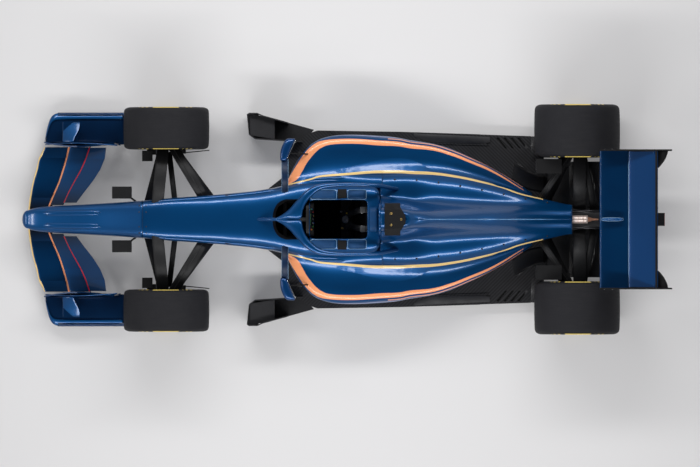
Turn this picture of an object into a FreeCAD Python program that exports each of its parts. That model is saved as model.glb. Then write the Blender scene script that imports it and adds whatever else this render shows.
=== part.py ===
import FreeCAD, Part
import math
import os
import re
import Sketcher
from FreeCAD import Vector

# An open wheel racing car. X runs from the nose to the tail, Y across it, Z up.
# The origin is on the ground, in the middle of the car's length and width.
# "right" is the side at +Y and "left" the side at -Y, seen with the nose at -X.

doc = FreeCAD.newDocument("open_wheel_car")
dim = doc.addObject("Spreadsheet::Sheet", "dim")

# Driving sizes in millimetres, counts in plain numbers, angles in degrees.
SIZES = {
    "wheelbase": 3400,
    "front_overhang": 1188,
    "rear_overhang": 770,
    "front_track": 1508,
    "rear_track": 1464,
    "tyre_radius": 355,
    "front_tyre_width": 350,
    "rear_tyre_width": 440,
    "tyre_wall": 14,
    "rim_radius": 229,
    "rim_lip": 11,
    "rim_wall": 7,
    "rim_drop": 15,
    "hub_radius": 62,
    "nut_radius": 34,
    "nut_depth": 38,
    "spoke_count": 10,
    "spoke_face": 26,
    "spindle_radius": 30,
    "spindle_gap": 1,
    "drum_radius": 186,
    "drum_depth": 108,
    "upright_width": 110,
    "upright_depth": 60,
    "steer_offset": 134,
    "steering_arm": 75,
    "track_rod_radius": 11,
    "rod_gap": 3,
    "running_gap": 6,
    "seat_gap": 0.3,
    "ride_height": 36,
    "plank_width": 300,
    "plank_depth": 24,
    "floor_depth": 22,
    "floor_width": 1478,
    "strip_rise": 9,
    "slot_width": 20,
    "floor_rear_width": 960,
    "chassis_width": 664,
    "chassis_height": 664,
    "cockpit_width": 410,
    "cockpit_length": 560,
    "cockpit_floor": 40,
    "padding_width": 318,
    "nose_width": 312,
    "nose_height": 562,
    "bulkhead_ahead": 192,
    "rim_of_cockpit": 600,
    "padding_rise": 78,
    "halo_tube": 24,
    "halo_width": 572,
    "halo_height": 800,
    "halo_length": 880,
    "hoop_height": 985,
    "hoop_width": 262,
    "hoop_mouth_wall": 14,
    "cover_width": 786,
    "cover_base": 470,
    "cover_tail_height": 520,
    "fin_depth": 12,
    "fin_height": 780,
    "pod_width": 1400,
    "pod_height": 560,
    "pod_inlet_height": 105,
    "pod_wall": 16,
    "wing_span": 1776,
    "wing_inner_span": 1200,
    "wing_plate_depth": 10,
    "main_plane_height": 96,
    "main_plane_depth": 26,
    "flap_depth": 16,
    "flap_gap": 12,
    "front_plate_height": 300,
    "rear_wing_span": 1152,
    "rear_wing_height": 930,
    "rear_plate_depth": 12,
    "rear_plane_depth": 34,
    "rear_flap_depth": 20,
    "arm_chord": 100,
    "arm_depth": 24,
    "rod_chord": 46,
    "rod_depth": 22,
    "shaft_radius": 17,
    "upper_arm_height": 505,
    "lower_arm_height": 218,
    "mirror_width": 180,
    "mirror_depth": 80,
    "mirror_height": 62,
    "camera_pod_length": 165,
    "camera_pod_width": 106,
    "camera_pod_depth": 44,
    "wheel_grip_width": 272,
    "wheel_grip_height": 160,
    "wheel_grip_depth": 34,
    "column_radius": 18,
    "engine_length": 620,
    "engine_width": 340,
    "engine_height": 380,
    "gearbox_width": 300,
    "gearbox_height": 250,
    "crash_box_height": 96,
    "lamp_depth": 60,
    "exhaust_radius": 33,
    "exhaust_wall": 4,
    "exhaust_length": 236,
    "diffuser_rise": 250,
    "diffuser_wall": 12,
    "board_height": 250,
    "board_wall": 10,
    "camera_mount_circle": 110,
    "camera_mount_hole": 4,
    "camera_mount_count": 3,
    "saddle_depth": 20,
    "saddle_length": 171,
    "column_tilt": 12,
    "hinge_pin": 5,
    "hinge_pin_gap": 0.6,
    "seat_width": 330,
    "seat_height": 420,
    "seat_wall": 14,
    "rear_arm_chord": 62,
    "ball_radius": 24,
    "gearbox_top": 412,
    "overrun": 40,
}

for row, (alias, value) in enumerate(SIZES.items(), start=1):
    dim.set("A%d" % row, alias)
    dim.set("B%d" % row, str(value))
    dim.setAlias("B%d" % row, alias)
doc.recompute()


def size(alias):
    """A driving size, read from the sheet."""
    return float(dim.get(alias))


def formula(text):
    """A sum of aliases as the sheet's own expression."""
    return re.sub(r"[a-z]\w+", lambda found: "dim." + found.group(), text)


def amount(text):
    """The value of a sum of aliases."""
    return float(dim.evalExpression(text))


length = size("wheelbase") + size("front_overhang") + size("rear_overhang")
half = 0.5
nose_x = -length * half
tail_x = length * half
front_axle_x = nose_x + size("front_overhang")
rear_axle_x = tail_x - size("rear_overhang")
FRONT_AXLE = "((front_overhang - wheelbase - rear_overhang) / 2)"
REAR_AXLE = "((wheelbase + front_overhang - rear_overhang) / 2)"
bulkhead_x = front_axle_x - size("bulkhead_ahead")
floor_low = size("ride_height") + size("plank_depth")
floor_top = floor_low + size("floor_depth")
made = []


def origin_plane(body, role):
    return [feature for feature in body.Origin.OriginFeatures if feature.Role == role][0]


def keep(thing, label):
    """Marks an object as a piece of the car: its label names its file."""
    thing.Label = label
    made.append(thing)
    return thing


def new_body(name):
    return doc.addObject("PartDesign::Body", name + "_body")


def outline(body, name, role, corners):
    """A closed sketch with straight sides, each corner bound to the sheet."""
    sketch = body.newObject("Sketcher::SketchObject", name)
    sketch.AttachmentSupport = [(origin_plane(body, role), "")]
    sketch.MapMode = "FlatFace"
    points = [Vector(amount(x), amount(y), 0) for x, y in corners]
    count = len(points)
    for i in range(count):
        sketch.addGeometry(Part.LineSegment(points[i], points[(i + 1) % count]), False)
    for i in range(count):
        sketch.addConstraint(Sketcher.Constraint("Coincident", i, 2, (i + 1) % count, 1))
    for i, (x, y) in enumerate(corners):
        place = sketch.addConstraint(Sketcher.Constraint("DistanceX", -1, 1, i, 1, points[i].x))
        sketch.setExpression("Constraints[%d]" % place, formula(x))
        place = sketch.addConstraint(Sketcher.Constraint("DistanceY", -1, 1, i, 1, points[i].y))
        sketch.setExpression("Constraints[%d]" % place, formula(y))
    return sketch


def pad(body, name, sketch, depth, midplane=False, reverse=False):
    feature = body.newObject("PartDesign::Pad", name)
    feature.Profile = sketch
    feature.setExpression("Length", formula(depth))
    feature.Midplane = midplane
    feature.Reversed = reverse
    return feature


def pocket(body, name, sketch, depth, midplane=False, reverse=False):
    feature = body.newObject("PartDesign::Pocket", name)
    feature.Profile = sketch
    feature.setExpression("Length", formula(depth))
    feature.Midplane = midplane
    feature.Reversed = reverse
    return feature


def revolve(body, name, sketch, axis="V_Axis"):
    feature = body.newObject("PartDesign::Revolution", name)
    feature.Profile = sketch
    feature.ReferenceAxis = (sketch, [axis])
    feature.Angle = 360
    return feature


def put(thing, x="0", y="0", z="0"):
    """Binds the place of an object to the sheet."""
    for axis, text in zip("xyz", (x, y, z)):
        thing.setExpression("Placement.Base." + axis, formula(text))


def feature_of(shape, label):
    """A piece whose shape is worked out from the sizes by Part's own functions."""
    thing = doc.addObject("Part::Feature", label)
    thing.Shape = shape
    return keep(thing, label)


def mirrored(source, label):
    """The same piece on the other side of the car."""
    thing = doc.addObject("Part::Mirroring", label + "_mirror")
    thing.Source = source
    thing.Base = Vector(0, 0, 0)
    thing.Normal = Vector(0, 1, 0)
    return keep(thing, label)


def closed_spline(points):
    """A smooth ring with even knots, so that the rings of one loft agree."""
    curve = Part.BSplineCurve()
    curve.interpolate(Points=points, PeriodicFlag=True, Parameters=list(range(len(points) + 1)))
    return Part.Wire([curve.toShape()])


def open_spline(points):
    curve = Part.BSplineCurve()
    curve.interpolate(Points=points, Parameters=list(range(len(points))))
    return curve.toShape()


def smooth_rows(rows, count):
    """A table's rows at even steps, on smooth lines that never swing past its values."""
    last = len(rows) - 1

    def steepness(i, column):
        return (rows[i + 1][column] - rows[i][column]) / (rows[i + 1][0] - rows[i][0])

    def slope(i, column):
        if i == 0 or i == last:
            return steepness(min(i, last - 1), column)
        before = steepness(i - 1, column)
        after = steepness(i, column)
        return 0 if before * after <= 0 else 2 * before * after / (before + after)

    result = []
    for step in range(count):
        along = rows[0][0] + (rows[last][0] - rows[0][0]) * step / (count - 1)
        i = max(k for k in range(last) if rows[k][0] <= along)
        reach = rows[i + 1][0] - rows[i][0]
        t = (along - rows[i][0]) / reach
        row = [along]
        for column in range(1, len(rows[0])):
            row.append(rows[i][column] * (2 * t ** 3 - 3 * t ** 2 + 1)
                       + slope(i, column) * reach * (t ** 3 - 2 * t ** 2 + t)
                       + rows[i + 1][column] * (3 * t ** 2 - 2 * t ** 3)
                       + slope(i + 1, column) * reach * (t ** 3 - t ** 2))
        result.append(row)
    return result


def polygon(points):
    return Part.makePolygon(list(points) + [points[0]])


def slab(points, direction):
    """A flat outline pushed along a direction."""
    return Part.Face(polygon(points)).extrude(direction)


def loft(wires, ruled=False):
    return Part.makeLoft(wires, True, ruled)


def box_between(low, high):
    """A block from its lowest to its highest corner."""
    return Part.makeBox(high[0] - low[0], high[1] - low[1], high[2] - low[2], Vector(*low))


def largest(shape):
    return max(shape.Solids, key=lambda solid: solid.Volume)


def symmetric(half_points):
    """Half a section's points, top to bottom at +Y, with their reflection."""
    other = [Vector(p.x, -p.y, p.z) for p in reversed(half_points) if abs(p.y) > 0]
    return half_points + other


def strut(start, end, chord, depth):
    """A streamlined arm: a flat oval, long way along X, pushed from start to end."""
    sides = 10
    ring = []
    for i in range(sides):
        angle = 2 * math.pi * i / sides
        ring.append(start + Vector(chord * half * math.cos(angle), 0, depth * half * math.sin(angle)))
    return slab(ring, end - start)


def rod(start, end, radius):
    run = end - start
    return Part.makeCylinder(radius, run.Length, start, run)


def round_path(points, radii):
    """Straight runs joined by tangent arcs: the path of a bent tube."""
    edges = []
    at = points[0]
    for i in range(1, len(points) - 1):
        back = (points[i - 1] - points[i]).normalize()
        ahead = (points[i + 1] - points[i]).normalize()
        turn = math.pi - back.getAngle(ahead)
        reach = radii[i - 1] * math.tan(turn * half)
        enter = points[i] + back * reach
        leave = points[i] + ahead * reach
        bisector = (back + ahead).normalize()
        centre = points[i] + bisector * (radii[i - 1] / math.cos(turn * half))
        middle = centre - bisector * radii[i - 1]
        edges.append(Part.LineSegment(at, enter).toShape())
        edges.append(Part.Arc(enter, middle, leave).toShape())
        at = leave
    edges.append(Part.LineSegment(at, points[-1]).toShape())
    return Part.Wire(edges)


def tube(points, radii, radius):
    """A round bar bent along a path."""
    path = round_path(points, radii)
    run = points[1] - points[0]
    ring = Part.Wire([Part.Circle(points[0], run, radius).toShape()])
    return path.makePipeShell([ring], True, False)


# Tyres and rims.
def tyre(label, axle_x, track, width, side):
    """A hollow carcass: bulging side walls, round shoulders and a flat crown."""
    body = new_body(label)
    wide = width + " / 2"
    seat = "(rim_radius + seat_gap)"
    bead = wide + " * 0.80 - seat_gap"
    outside = [
        (seat, bead), ("rim_radius + rim_lip * 1.15", bead), ("rim_radius + rim_lip * 2.2", wide + " * 0.90"),
        ("tyre_radius * 0.82", wide), ("tyre_radius * 0.925", wide + " * 0.975"),
        ("tyre_radius * 0.978", wide + " * 0.88"), ("tyre_radius * 0.996", wide + " * 0.72"),
        ("tyre_radius", wide + " * 0.30"),
    ]
    inside = [
        ("tyre_radius - tyre_wall", wide + " * 0.72"),
        ("tyre_radius * 0.82", wide + " - tyre_wall"),
        (seat, wide + " * 0.80 - tyre_wall * 1.6"),
    ]
    corners = outside + [(r, "-(%s)" % y) for r, y in reversed(outside)]
    corners += [(r, "-(%s)" % y) for r, y in reversed(inside)] + inside
    sketch = outline(body, label + "_section", "XY_Plane", corners)
    revolve(body, label + "_turn", sketch)
    put(body, axle_x, side + track + " / 2", "tyre_radius")
    return keep(body, label)


def rim(label, axle_x, track, width, side):
    """A barrel with lips and a dished face, cut into spokes, with its wheel nut."""
    body = new_body(label)
    edge = width + " * 0.40"
    dish = width + " * 0.10"
    drop = "(rim_radius - rim_drop)"
    under = "(rim_radius - rim_drop - rim_wall)"
    nut_face = dish + " + spoke_face * 1.5 + nut_depth"
    profile = [
        ("rim_radius + rim_lip", "-" + edge + " - rim_wall"),
        ("rim_radius + rim_lip", "-" + edge),
        ("rim_radius", "-" + edge),
        ("rim_radius", "-" + edge + " + rim_drop * 2"),
        (drop, "-" + edge + " + rim_drop * 3"),
        (drop, edge + " - rim_drop * 4"),
        ("rim_radius", edge + " - rim_drop * 3"),
        ("rim_radius", edge),
        ("rim_radius + rim_lip", edge),
        ("rim_radius + rim_lip", edge + " + rim_wall"),
        ("rim_radius - rim_wall", edge + " + rim_wall"),
        (under, edge + " - rim_drop"),
        ("hub_radius * 1.5", dish + " + spoke_face * 1.6"),
        ("hub_radius", dish + " + spoke_face * 1.5"),
        ("nut_radius * 1.15", dish + " + spoke_face * 1.5"),
        ("nut_radius", nut_face),
        ("0", nut_face),
        ("0", dish + " + spoke_face * 1.4"),
        ("spindle_radius + spindle_gap", dish + " + spoke_face * 1.4"),
        ("spindle_radius + spindle_gap", dish),
        ("hub_radius", dish),
        ("hub_radius * 1.5", dish + " + spoke_face * 0.6"),
        (under, edge + " - rim_drop - spoke_face * 1.3"),
        (under, "-" + edge + " + rim_drop * 3"),
        ("rim_radius - rim_wall", "-" + edge + " + rim_drop * 2"),
        ("rim_radius - rim_wall", "-" + edge + " - rim_wall"),
    ]
    corners = [(r, y if side == "" else "-(%s)" % y) for r, y in profile]
    sketch = outline(body, label + "_section", "XY_Plane", corners)
    revolve(body, label + "_turn", sketch)
    window = outline(body, label + "_window", "XZ_Plane", [
        ("hub_radius * 1.35", "-hub_radius * 0.16"),
        (under + " * 0.95", "-rim_radius * 0.19"),
        (under + " * 0.95", "rim_radius * 0.19"),
        ("hub_radius * 1.35", "hub_radius * 0.16"),
    ])
    doc.recompute()
    solid = body.Shape.Volume
    cut = pocket(body, label + "_cut", window, width, midplane=True)
    ring = body.newObject("PartDesign::PolarPattern", label + "_spokes")
    ring.Originals = [cut]
    ring.Axis = (origin_plane(body, "Y_Axis"), [""])
    ring.Angle = 360
    ring.setExpression("Occurrences", formula("spoke_count"))
    body.Tip = ring
    doc.recompute()
    assert body.Shape.Volume < solid
    put(body, axle_x, side + track + " / 2", "tyre_radius")
    return keep(body, label)


for side_name, side in (("right", ""), ("left", "-")):
    for end, axle, track, width in (("front", FRONT_AXLE, "front_track", "front_tyre_width"),
                                    ("rear", REAR_AXLE, "rear_track", "rear_tyre_width")):
        tyre("tyre_%s_%s" % (end, side_name), axle, track, width, side)
        rim("rim_%s_%s" % (end, side_name), axle, track, width, side)


# Uprights, with their spindles, brake drums and scoops.
front_wheel_y = size("front_track") * half
rear_wheel_y = size("rear_track") * half
axle_z = size("tyre_radius")
kingpin_y = front_wheel_y - size("steer_offset")
front_hub_back = front_wheel_y + size("front_tyre_width") * 0.10
rear_hub_back = rear_wheel_y + size("rear_tyre_width") * 0.10
track_rod_x = front_axle_x - size("steering_arm")
track_rod_z = size("upper_arm_height") - size("rod_chord") - size("rod_gap") * 3
ACROSS = Vector(0, 1, 0)
UP = Vector(0, 0, 1)


def drum(centre_x, back_y, face_y):
    """A brake drum: a wall, an inner face and an outer face with a wide eye."""
    wall = size("rim_wall")
    radius = size("drum_radius")
    shell = Part.makeCylinder(radius, face_y - back_y, Vector(centre_x, back_y, axle_z), ACROSS)
    space = Part.makeCylinder(radius - wall, face_y - back_y - wall * 2,
                              Vector(centre_x, back_y + wall, axle_z), ACROSS)
    eye = Part.makeCylinder(size("hub_radius") * 1.5, wall * 3,
                            Vector(centre_x, face_y - wall * 2, axle_z), ACROSS)
    return shell.cut(space).cut(eye)


def hollow_box(low, high, wall):
    """A duct with its mouth ahead."""
    inside_low = (low[0] - wall, low[1] + wall, low[2] + wall)
    inside_high = (high[0] - wall, high[1] - wall, high[2] - wall)
    return box_between(low, high).cut(box_between(inside_low, inside_high))


def front_knuckle():
    wall = size("rim_wall")
    depth = size("upright_depth")
    wide = size("upright_width")
    radius = size("drum_radius")
    spindle_end = front_hub_back + size("spoke_face") * 1.2
    spindle = Part.makeCylinder(size("spindle_radius"), spindle_end - kingpin_y,
                                Vector(front_axle_x, kingpin_y, axle_z), ACROSS)
    face = front_hub_back - size("running_gap")
    back = face - size("drum_depth")
    low = size("lower_arm_height") + size("arm_depth")
    high = size("upper_arm_height") - size("arm_depth")
    post = box_between((front_axle_x - wide * half, kingpin_y - depth * half, low),
                       (front_axle_x + wide * half, back + wall, high))
    disc = Part.makeCylinder(radius * 0.86, size("arm_depth"),
                             Vector(front_axle_x, back + size("drum_depth") * half, axle_z), ACROSS)
    rod_r = size("track_rod_radius")
    arm = box_between((track_rod_x - rod_r * 1.6, kingpin_y - depth * half, track_rod_z - rod_r * 3.2),
                      (front_axle_x, kingpin_y + depth * half, track_rod_z - rod_r * 1.6))
    pin = rod(Vector(track_rod_x, kingpin_y, track_rod_z - rod_r * 2),
              Vector(track_rod_x, kingpin_y, track_rod_z + rod_r),
              rod_r * half)
    duct_low = size("lower_arm_height") + size("arm_depth") * 2
    duct_high = track_rod_z - rod_r * 4
    duct = box_between((front_axle_x - radius * 0.86, kingpin_y - depth * 1.4, duct_low),
                       (front_axle_x - wide * half, back + wall, duct_high))
    scoop = hollow_box((front_axle_x - radius - wall * 2, kingpin_y - depth * 2.3, duct_low),
                       (front_axle_x - radius * 0.62, kingpin_y - depth * 0.85, duct_high + rod_r * 2), wall)
    stay = box_between((front_axle_x + wide * half, kingpin_y - depth * 1.25, duct_low),
                       (front_axle_x + radius * 0.86, back + wall, duct_low + size("arm_depth")))
    vane_start = Vector(front_axle_x + radius * 0.8, kingpin_y - depth * 1.2, duct_low)
    vane_end = Vector(front_axle_x + size("tyre_radius"), kingpin_y - depth * 0.85, duct_low)
    across = Vector(0, wall, 0)
    vane = slab([vane_start, vane_end, vane_end + across, vane_start + across],
                UP * (duct_high - duct_low))
    stub_top = size("upper_arm_height") - size("arm_depth") * half - size("seat_gap")
    stub_low = size("lower_arm_height") + size("arm_depth") * half + size("seat_gap")
    stub = rod(Vector(front_axle_x, kingpin_y, stub_low), Vector(front_axle_x, kingpin_y, stub_top),
               size("ball_radius") * 0.6)
    pieces = [spindle, drum(front_axle_x, back, face), disc, arm, pin, duct, scoop, stay, vane, stub]
    return post.fuse(pieces).removeSplitter()


def rear_hub():
    wall = size("rim_wall")
    depth = size("upright_depth")
    wide = size("upright_width")
    radius = size("drum_radius")
    face = rear_hub_back - size("running_gap")
    back = face - size("drum_depth") * 1.4
    inner = back - depth
    low = size("lower_arm_height")
    post = box_between((rear_axle_x - wide * half, inner, low),
                       (rear_axle_x + wide * half, back + wall, size("upper_arm_height")))
    spindle_end = rear_hub_back + size("spoke_face") * 1.2
    spindle = Part.makeCylinder(size("spindle_radius"), spindle_end - inner,
                                Vector(rear_axle_x, inner, axle_z), ACROSS)
    disc = Part.makeCylinder(radius * 0.86, size("arm_depth"),
                             Vector(rear_axle_x, back + size("drum_depth") * half, axle_z), ACROSS)
    duct_low = size("lower_arm_height") + size("arm_depth") * 3
    duct_high = size("upper_arm_height") - size("arm_depth") * 2
    tyre_face = rear_wheel_y - size("rear_tyre_width") * half - size("running_gap") * 2
    duct = box_between((rear_axle_x - radius * 0.84, tyre_face - depth, duct_low),
                       (rear_axle_x - wide * half, back + wall, duct_high - size("arm_depth") * 2))
    scoop = hollow_box((rear_axle_x - radius * 1.85, tyre_face - depth * 2, duct_low + size("arm_depth")),
                       (rear_axle_x - radius * 0.7, tyre_face, duct_high + size("arm_depth") * 2), wall)
    return post.fuse([spindle, drum(rear_axle_x, back, face), disc, duct, scoop]).removeSplitter()


knuckle_right = feature_of(front_knuckle(), "front_upright_right")
mirrored(knuckle_right, "front_upright_left")
hub_right = feature_of(rear_hub(), "rear_upright_right")
mirrored(hub_right, "rear_upright_left")


# Sections of the bodywork. Each is a closed smooth line across the car.
def round_section(x, wide, low, high):
    """A full section with soft corners; wide is its half width."""
    tall = high - low
    shares = [(0, 0), (0.48, 0.014), (0.84, 0.070), (0.985, 0.24), (0.985, 0.60), (0.88, 0.90),
              (0.50, 0.990), (0, 1)]
    ring = symmetric([Vector(x, wide * y, high - tall * z) for y, z in shares])
    lowest = len(shares) - 1
    return closed_spline(ring[lowest:] + ring[:lowest])


def body_loft(stations):
    return loft([round_section(*station) for station in stations])


nose_wide = size("nose_width") * half
nose_high = size("nose_height")
nose_length = bulkhead_x - nose_x
# Shares along the nose, of its half width, and of its height for the lower and upper line.
NOSE_SHARES = [
    (0.004, 0.28, 0.400, 0.480), (0.030, 0.45, 0.355, 0.520), (0.085, 0.60, 0.320, 0.560),
    (0.215, 0.69, 0.300, 0.620), (0.430, 0.77, 0.330, 0.715), (0.620, 0.84, 0.375, 0.800),
    (0.820, 0.92, 0.425, 0.905), (1.000, 1.00, 0.455, 1.000),
]
nose_outer = body_loft([(nose_x + nose_length * along, nose_wide * wide, nose_high * low, nose_high * high)
                        for along, wide, low, high in smooth_rows(NOSE_SHARES, 12)])

chassis_wide = size("chassis_width") * half
chassis_high = size("chassis_height")
cockpit_x = front_axle_x + size("wheelbase") * 0.33
tub_end_x = front_axle_x + size("wheelbase") * 0.615
tub_length = tub_end_x - bulkhead_x
TUB_SHARES = [
    (0.000, nose_wide / chassis_wide, 0.385, nose_high / chassis_high), (0.110, 0.545, 0.350, 0.895),
    (0.220, 0.590, 0.290, 0.935), (0.350, 0.672, 0.210, 0.975), (0.450, 0.755, 0.165, 1.000),
    (0.520, 0.865, 0.130, 0.995), (0.600, 0.975, 0.130, 0.965), (0.680, 1.000, 0.130, 0.930),
    (0.830, 0.990, 0.130, 0.920), (1.000, 0.900, 0.130, 0.880),
]
gap = size("seat_gap")


def tub_loft(extra):
    """The chassis from outside, or with a seat's clearance round it."""
    return body_loft([(bulkhead_x + tub_length * along, chassis_wide * wide + extra,
                       chassis_high * low - extra,
                       chassis_high * high + extra) for along, wide, low,
                       high in smooth_rows(TUB_SHARES, 15)])


tub_outer = tub_loft(0)
tub_room = tub_loft(gap)


def cockpit_opening(low, high, pad_room):
    """The hole seen from above: a round front, then straight sides between the pads."""
    wide = size("padding_width") * half
    long = size("cockpit_length")
    side = wide + pad_room
    start = cockpit_x
    end = cockpit_x + long
    plan = [(-0.39, 0), (-0.385, 0.32), (-0.345, 0.66), (-0.24, 0.92), (-0.04, 1.06)]
    corners = [Vector(start + long * along, wide * across, low) for along, across in plan]
    corners += [Vector(start, side, low), Vector(end, side, low)]
    ring = corners + [Vector(p.x, -p.y, p.z) for p in reversed(corners[1:])]
    return slab(ring, UP * (high - low))


rim_z = size("rim_of_cockpit")
wall = size("pod_wall")
seat_floor = floor_top + size("cockpit_floor") + wall
cockpit_half = size("cockpit_width") * half
cockpit_end = cockpit_x + size("cockpit_length")
well = box_between((cockpit_x - wall * 2, -cockpit_half, seat_floor),
                   (cockpit_end + wall * 2, cockpit_half, rim_z))
foot_end = front_axle_x + size("nose_width")
foot_half = nose_wide * 0.86
footwell = box_between((foot_end, -foot_half, chassis_high * 0.38),
                       (cockpit_x, foot_half, chassis_high * 0.82))
over = size("overrun")
pad_wide = (size("padding_width") + size("pod_wall") * 12.5) * half
pad_room = pad_wide - size("padding_width") * half
opening = cockpit_opening(chassis_high * 0.7, chassis_high + over, 0)
pad_front = cockpit_x + wall * 4
pad_end = cockpit_end + wall * 5.5
pad_seat = box_between((pad_front, -pad_wide, rim_z - wall * 2), (pad_end, pad_wide, chassis_high + over))
rack_bore = Part.makeCylinder(size("track_rod_radius") + size("rod_gap"), size("front_track"),
                              Vector(track_rod_x, -size("front_track") * half, track_rod_z), ACROSS)
column_z = rim_z - size("wheel_grip_height") * half
bearing_x = cockpit_x - size("wheel_grip_width") * 0.46
under_tub = box_between((bulkhead_x, -chassis_wide * 2, -over),
                        (tub_end_x + over, chassis_wide * 2, floor_top + size("seat_gap")))
tub = tub_outer.cut(under_tub).cut(well).cut(footwell).cut(opening).cut(pad_seat).cut(rack_bore)
wheel_x = cockpit_x + size("wheel_grip_depth") * 2
wheel_z = column_z
tilt = size("column_tilt")
lean = math.radians(tilt)
column_axis = Vector(math.cos(lean), 0, math.sin(lean))
column_reach = size("wheel_grip_width")
bearing_size = size("column_radius") * 1.6
bearing_z = wheel_z - (wheel_x - bearing_x) * math.tan(lean)
bearing = box_between((bearing_x - bearing_size, -foot_half - wall, bearing_z - bearing_size),
                      (bearing_x, foot_half + wall, bearing_z + bearing_size))
column_bore = rod(Vector(wheel_x, 0, wheel_z) - column_axis * column_reach * 2, Vector(wheel_x, 0, wheel_z),
                  size("column_radius") + size("spindle_gap"))
tub = tub.fuse(bearing.cut(column_bore))
feature_of(tub, "chassis_tub")
feature_of(nose_outer, "nose_cone")

pad_top = rim_z + size("padding_rise")


def cockpit_padding():
    """Side pads and headrest: one horseshoe round the driver's head."""
    low = rim_z - wall * 2 + gap
    outer = box_between((pad_front + gap, -pad_wide + gap, low), (pad_end - gap, pad_wide - gap, pad_top))
    inner = box_between((pad_front - over, -size("padding_width") * half, low - over),
                        (cockpit_end, size("padding_width") * half, pad_top + over))
    shape = outer.cut(inner)
    edges = [e for e in shape.Edges if e.BoundBox.ZMin > pad_top - gap]
    return shape.makeFillet(wall, edges)


feature_of(cockpit_padding(), "cockpit_padding")


# The halo: a hoop on two rear feet and one centre pillar.
halo_z = size("halo_height")
halo_half = size("halo_width") * half
halo_r = size("halo_tube")
halo_front = cockpit_x - size("halo_length") * 0.06
halo_rear = halo_front + size("halo_length")


def halo_shape(extra, seats=()):
    """The bent tube, the pillar's blade and the web that joins them, each trimmed where it is seated."""
    long = size("halo_length")
    foot = Vector(halo_rear, halo_half * 0.86, chassis_high * 0.76)
    line = [foot, Vector(halo_rear - long * 0.16, halo_half * 0.99, halo_z - halo_r * 2.4),
            Vector(halo_front + long * 0.24, halo_half, halo_z - halo_r),
            Vector(halo_front + long * 0.02, halo_half * 0.40, halo_z)]
    points = line + [Vector(p.x, -p.y, p.z) for p in reversed(line)]
    soft = long * 0.18
    radii = [soft, soft * 1.4, soft * 0.7, soft * 0.7, soft * 1.4, soft]
    hoop = tube(points, radii, halo_r + extra)
    base_x = cockpit_x - size("cockpit_length") * 0.62
    base = Vector(base_x, 0, chassis_high * 0.93)
    top = Vector(halo_front - halo_r, 0, halo_z - halo_r * 0.3)
    blade = [base - Vector(halo_r * 2.2 + extra, 0, 0), base + Vector(halo_r * 2.2 + extra, 0, 0),
             top + Vector(halo_r + extra, 0, 0), top - Vector(halo_r * 2.4 + extra, 0, 0)]
    thick = halo_r * 1.5 + extra * 2
    pillar = slab([p - Vector(0, thick * half, 0) for p in blade], Vector(0, thick, 0))
    tip_x = base_x + long * 0.16
    fork = [(tip_x, thick * 0.2), (tip_x + long * 0.075, thick * 0.9),
            (halo_front - long * 0.052, halo_half * 0.32),
            (halo_front + long * 0.045, halo_half * 0.62), (halo_front + long * 0.02, halo_half * 0.30)]
    plan = [Vector(x, y + extra, 0) for x, y in fork]
    web = slab(plan + [Vector(p.x, -p.y, 0) for p in reversed(plan)], UP * halo_z * 2)
    side = [Vector(tip_x - over, -halo_half, halo_z - halo_r * 3.6 - extra),
            Vector(halo_front + over * 2, -halo_half, halo_z - halo_r * 0.9 - extra),
            Vector(halo_front + over * 2, -halo_half, halo_z + halo_r * 0.55 + extra),
            Vector(tip_x - over, -halo_half, halo_z - halo_r * 2.3 + extra)]
    web = web.common(slab(side, ACROSS * halo_half * 2))
    for seat_shape in seats:
        hoop = largest(hoop.cut(seat_shape))
        pillar = largest(pillar.cut(seat_shape))
    return hoop.fuse([pillar, web])


feature_of(largest(halo_shape(0, [tub_room])), "halo")
halo_room = halo_shape(gap)


# Roll hoop with the engine's air intake, and the engine cover behind it.
hoop_x = pad_end + gap
hoop_wide = size("hoop_width") * half
saddle_top = size("hoop_height")
hoop_top = saddle_top - size("saddle_depth")
hoop_length = size("hoop_width") * 0.95
neck_z = chassis_high * 1.05


def cover_section(x, base_wide, base_z, top_z, hump_wide, shoulder_z):
    """Half the cover from its ridge down to its base, and across."""
    rise = top_z - shoulder_z
    half_points = [
        Vector(x, 0, top_z), Vector(x, hump_wide * 0.60, top_z - rise * 0.06),
        Vector(x, hump_wide * 0.96, top_z - rise * 0.38), Vector(x, hump_wide * 1.06,
                                                                 shoulder_z + rise * 0.16),
        Vector(x, hump_wide * 1.30 + (base_wide - hump_wide) * 0.12, shoulder_z),
        Vector(x, base_wide * 0.80 + hump_wide * 0.10, shoulder_z - (shoulder_z - base_z) * 0.10),
        Vector(x, base_wide * 0.985, shoulder_z - (shoulder_z - base_z) * 0.55), Vector(x, base_wide, base_z),
    ]
    ridge = open_spline([Vector(p.x, -p.y, p.z) for p in reversed(half_points[1:])] + half_points)
    base = Part.LineSegment(half_points[-1], Vector(x, -base_wide, base_z)).toShape()
    return Part.Wire([ridge, base])


cover_wide = size("cover_width") * half
cover_z = size("cover_base")
cover_end = rear_axle_x - size("wheelbase") * 0.0125
cover_start = hoop_x
cover_length = cover_end - cover_start
tail_high = size("cover_tail_height")
# Shares along the cover, of its half width, of the drop of its base, of the fall of its top,
# of the hoop's half width, and of its shoulder's rise towards the chassis height.
COVER_SHARES = [
    (0.00, 0.990, 0.00, 0.990, 0.86, 0.759), (0.12, 1.000, 0.00, 0.960, 0.84, 0.738),
    (0.28, 0.960, 0.00, 0.800, 0.70, 0.691), (0.45, 0.860, 0.05, 0.600, 0.66, 0.595),
    (0.62, 0.690, 0.20, 0.400, 0.68, 0.501), (0.80, 0.480, 0.50, 0.190, 0.72, 0.408),
    (1.00, 0.272, 1.00, 0.000, 0.70, 0.335),
]


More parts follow.
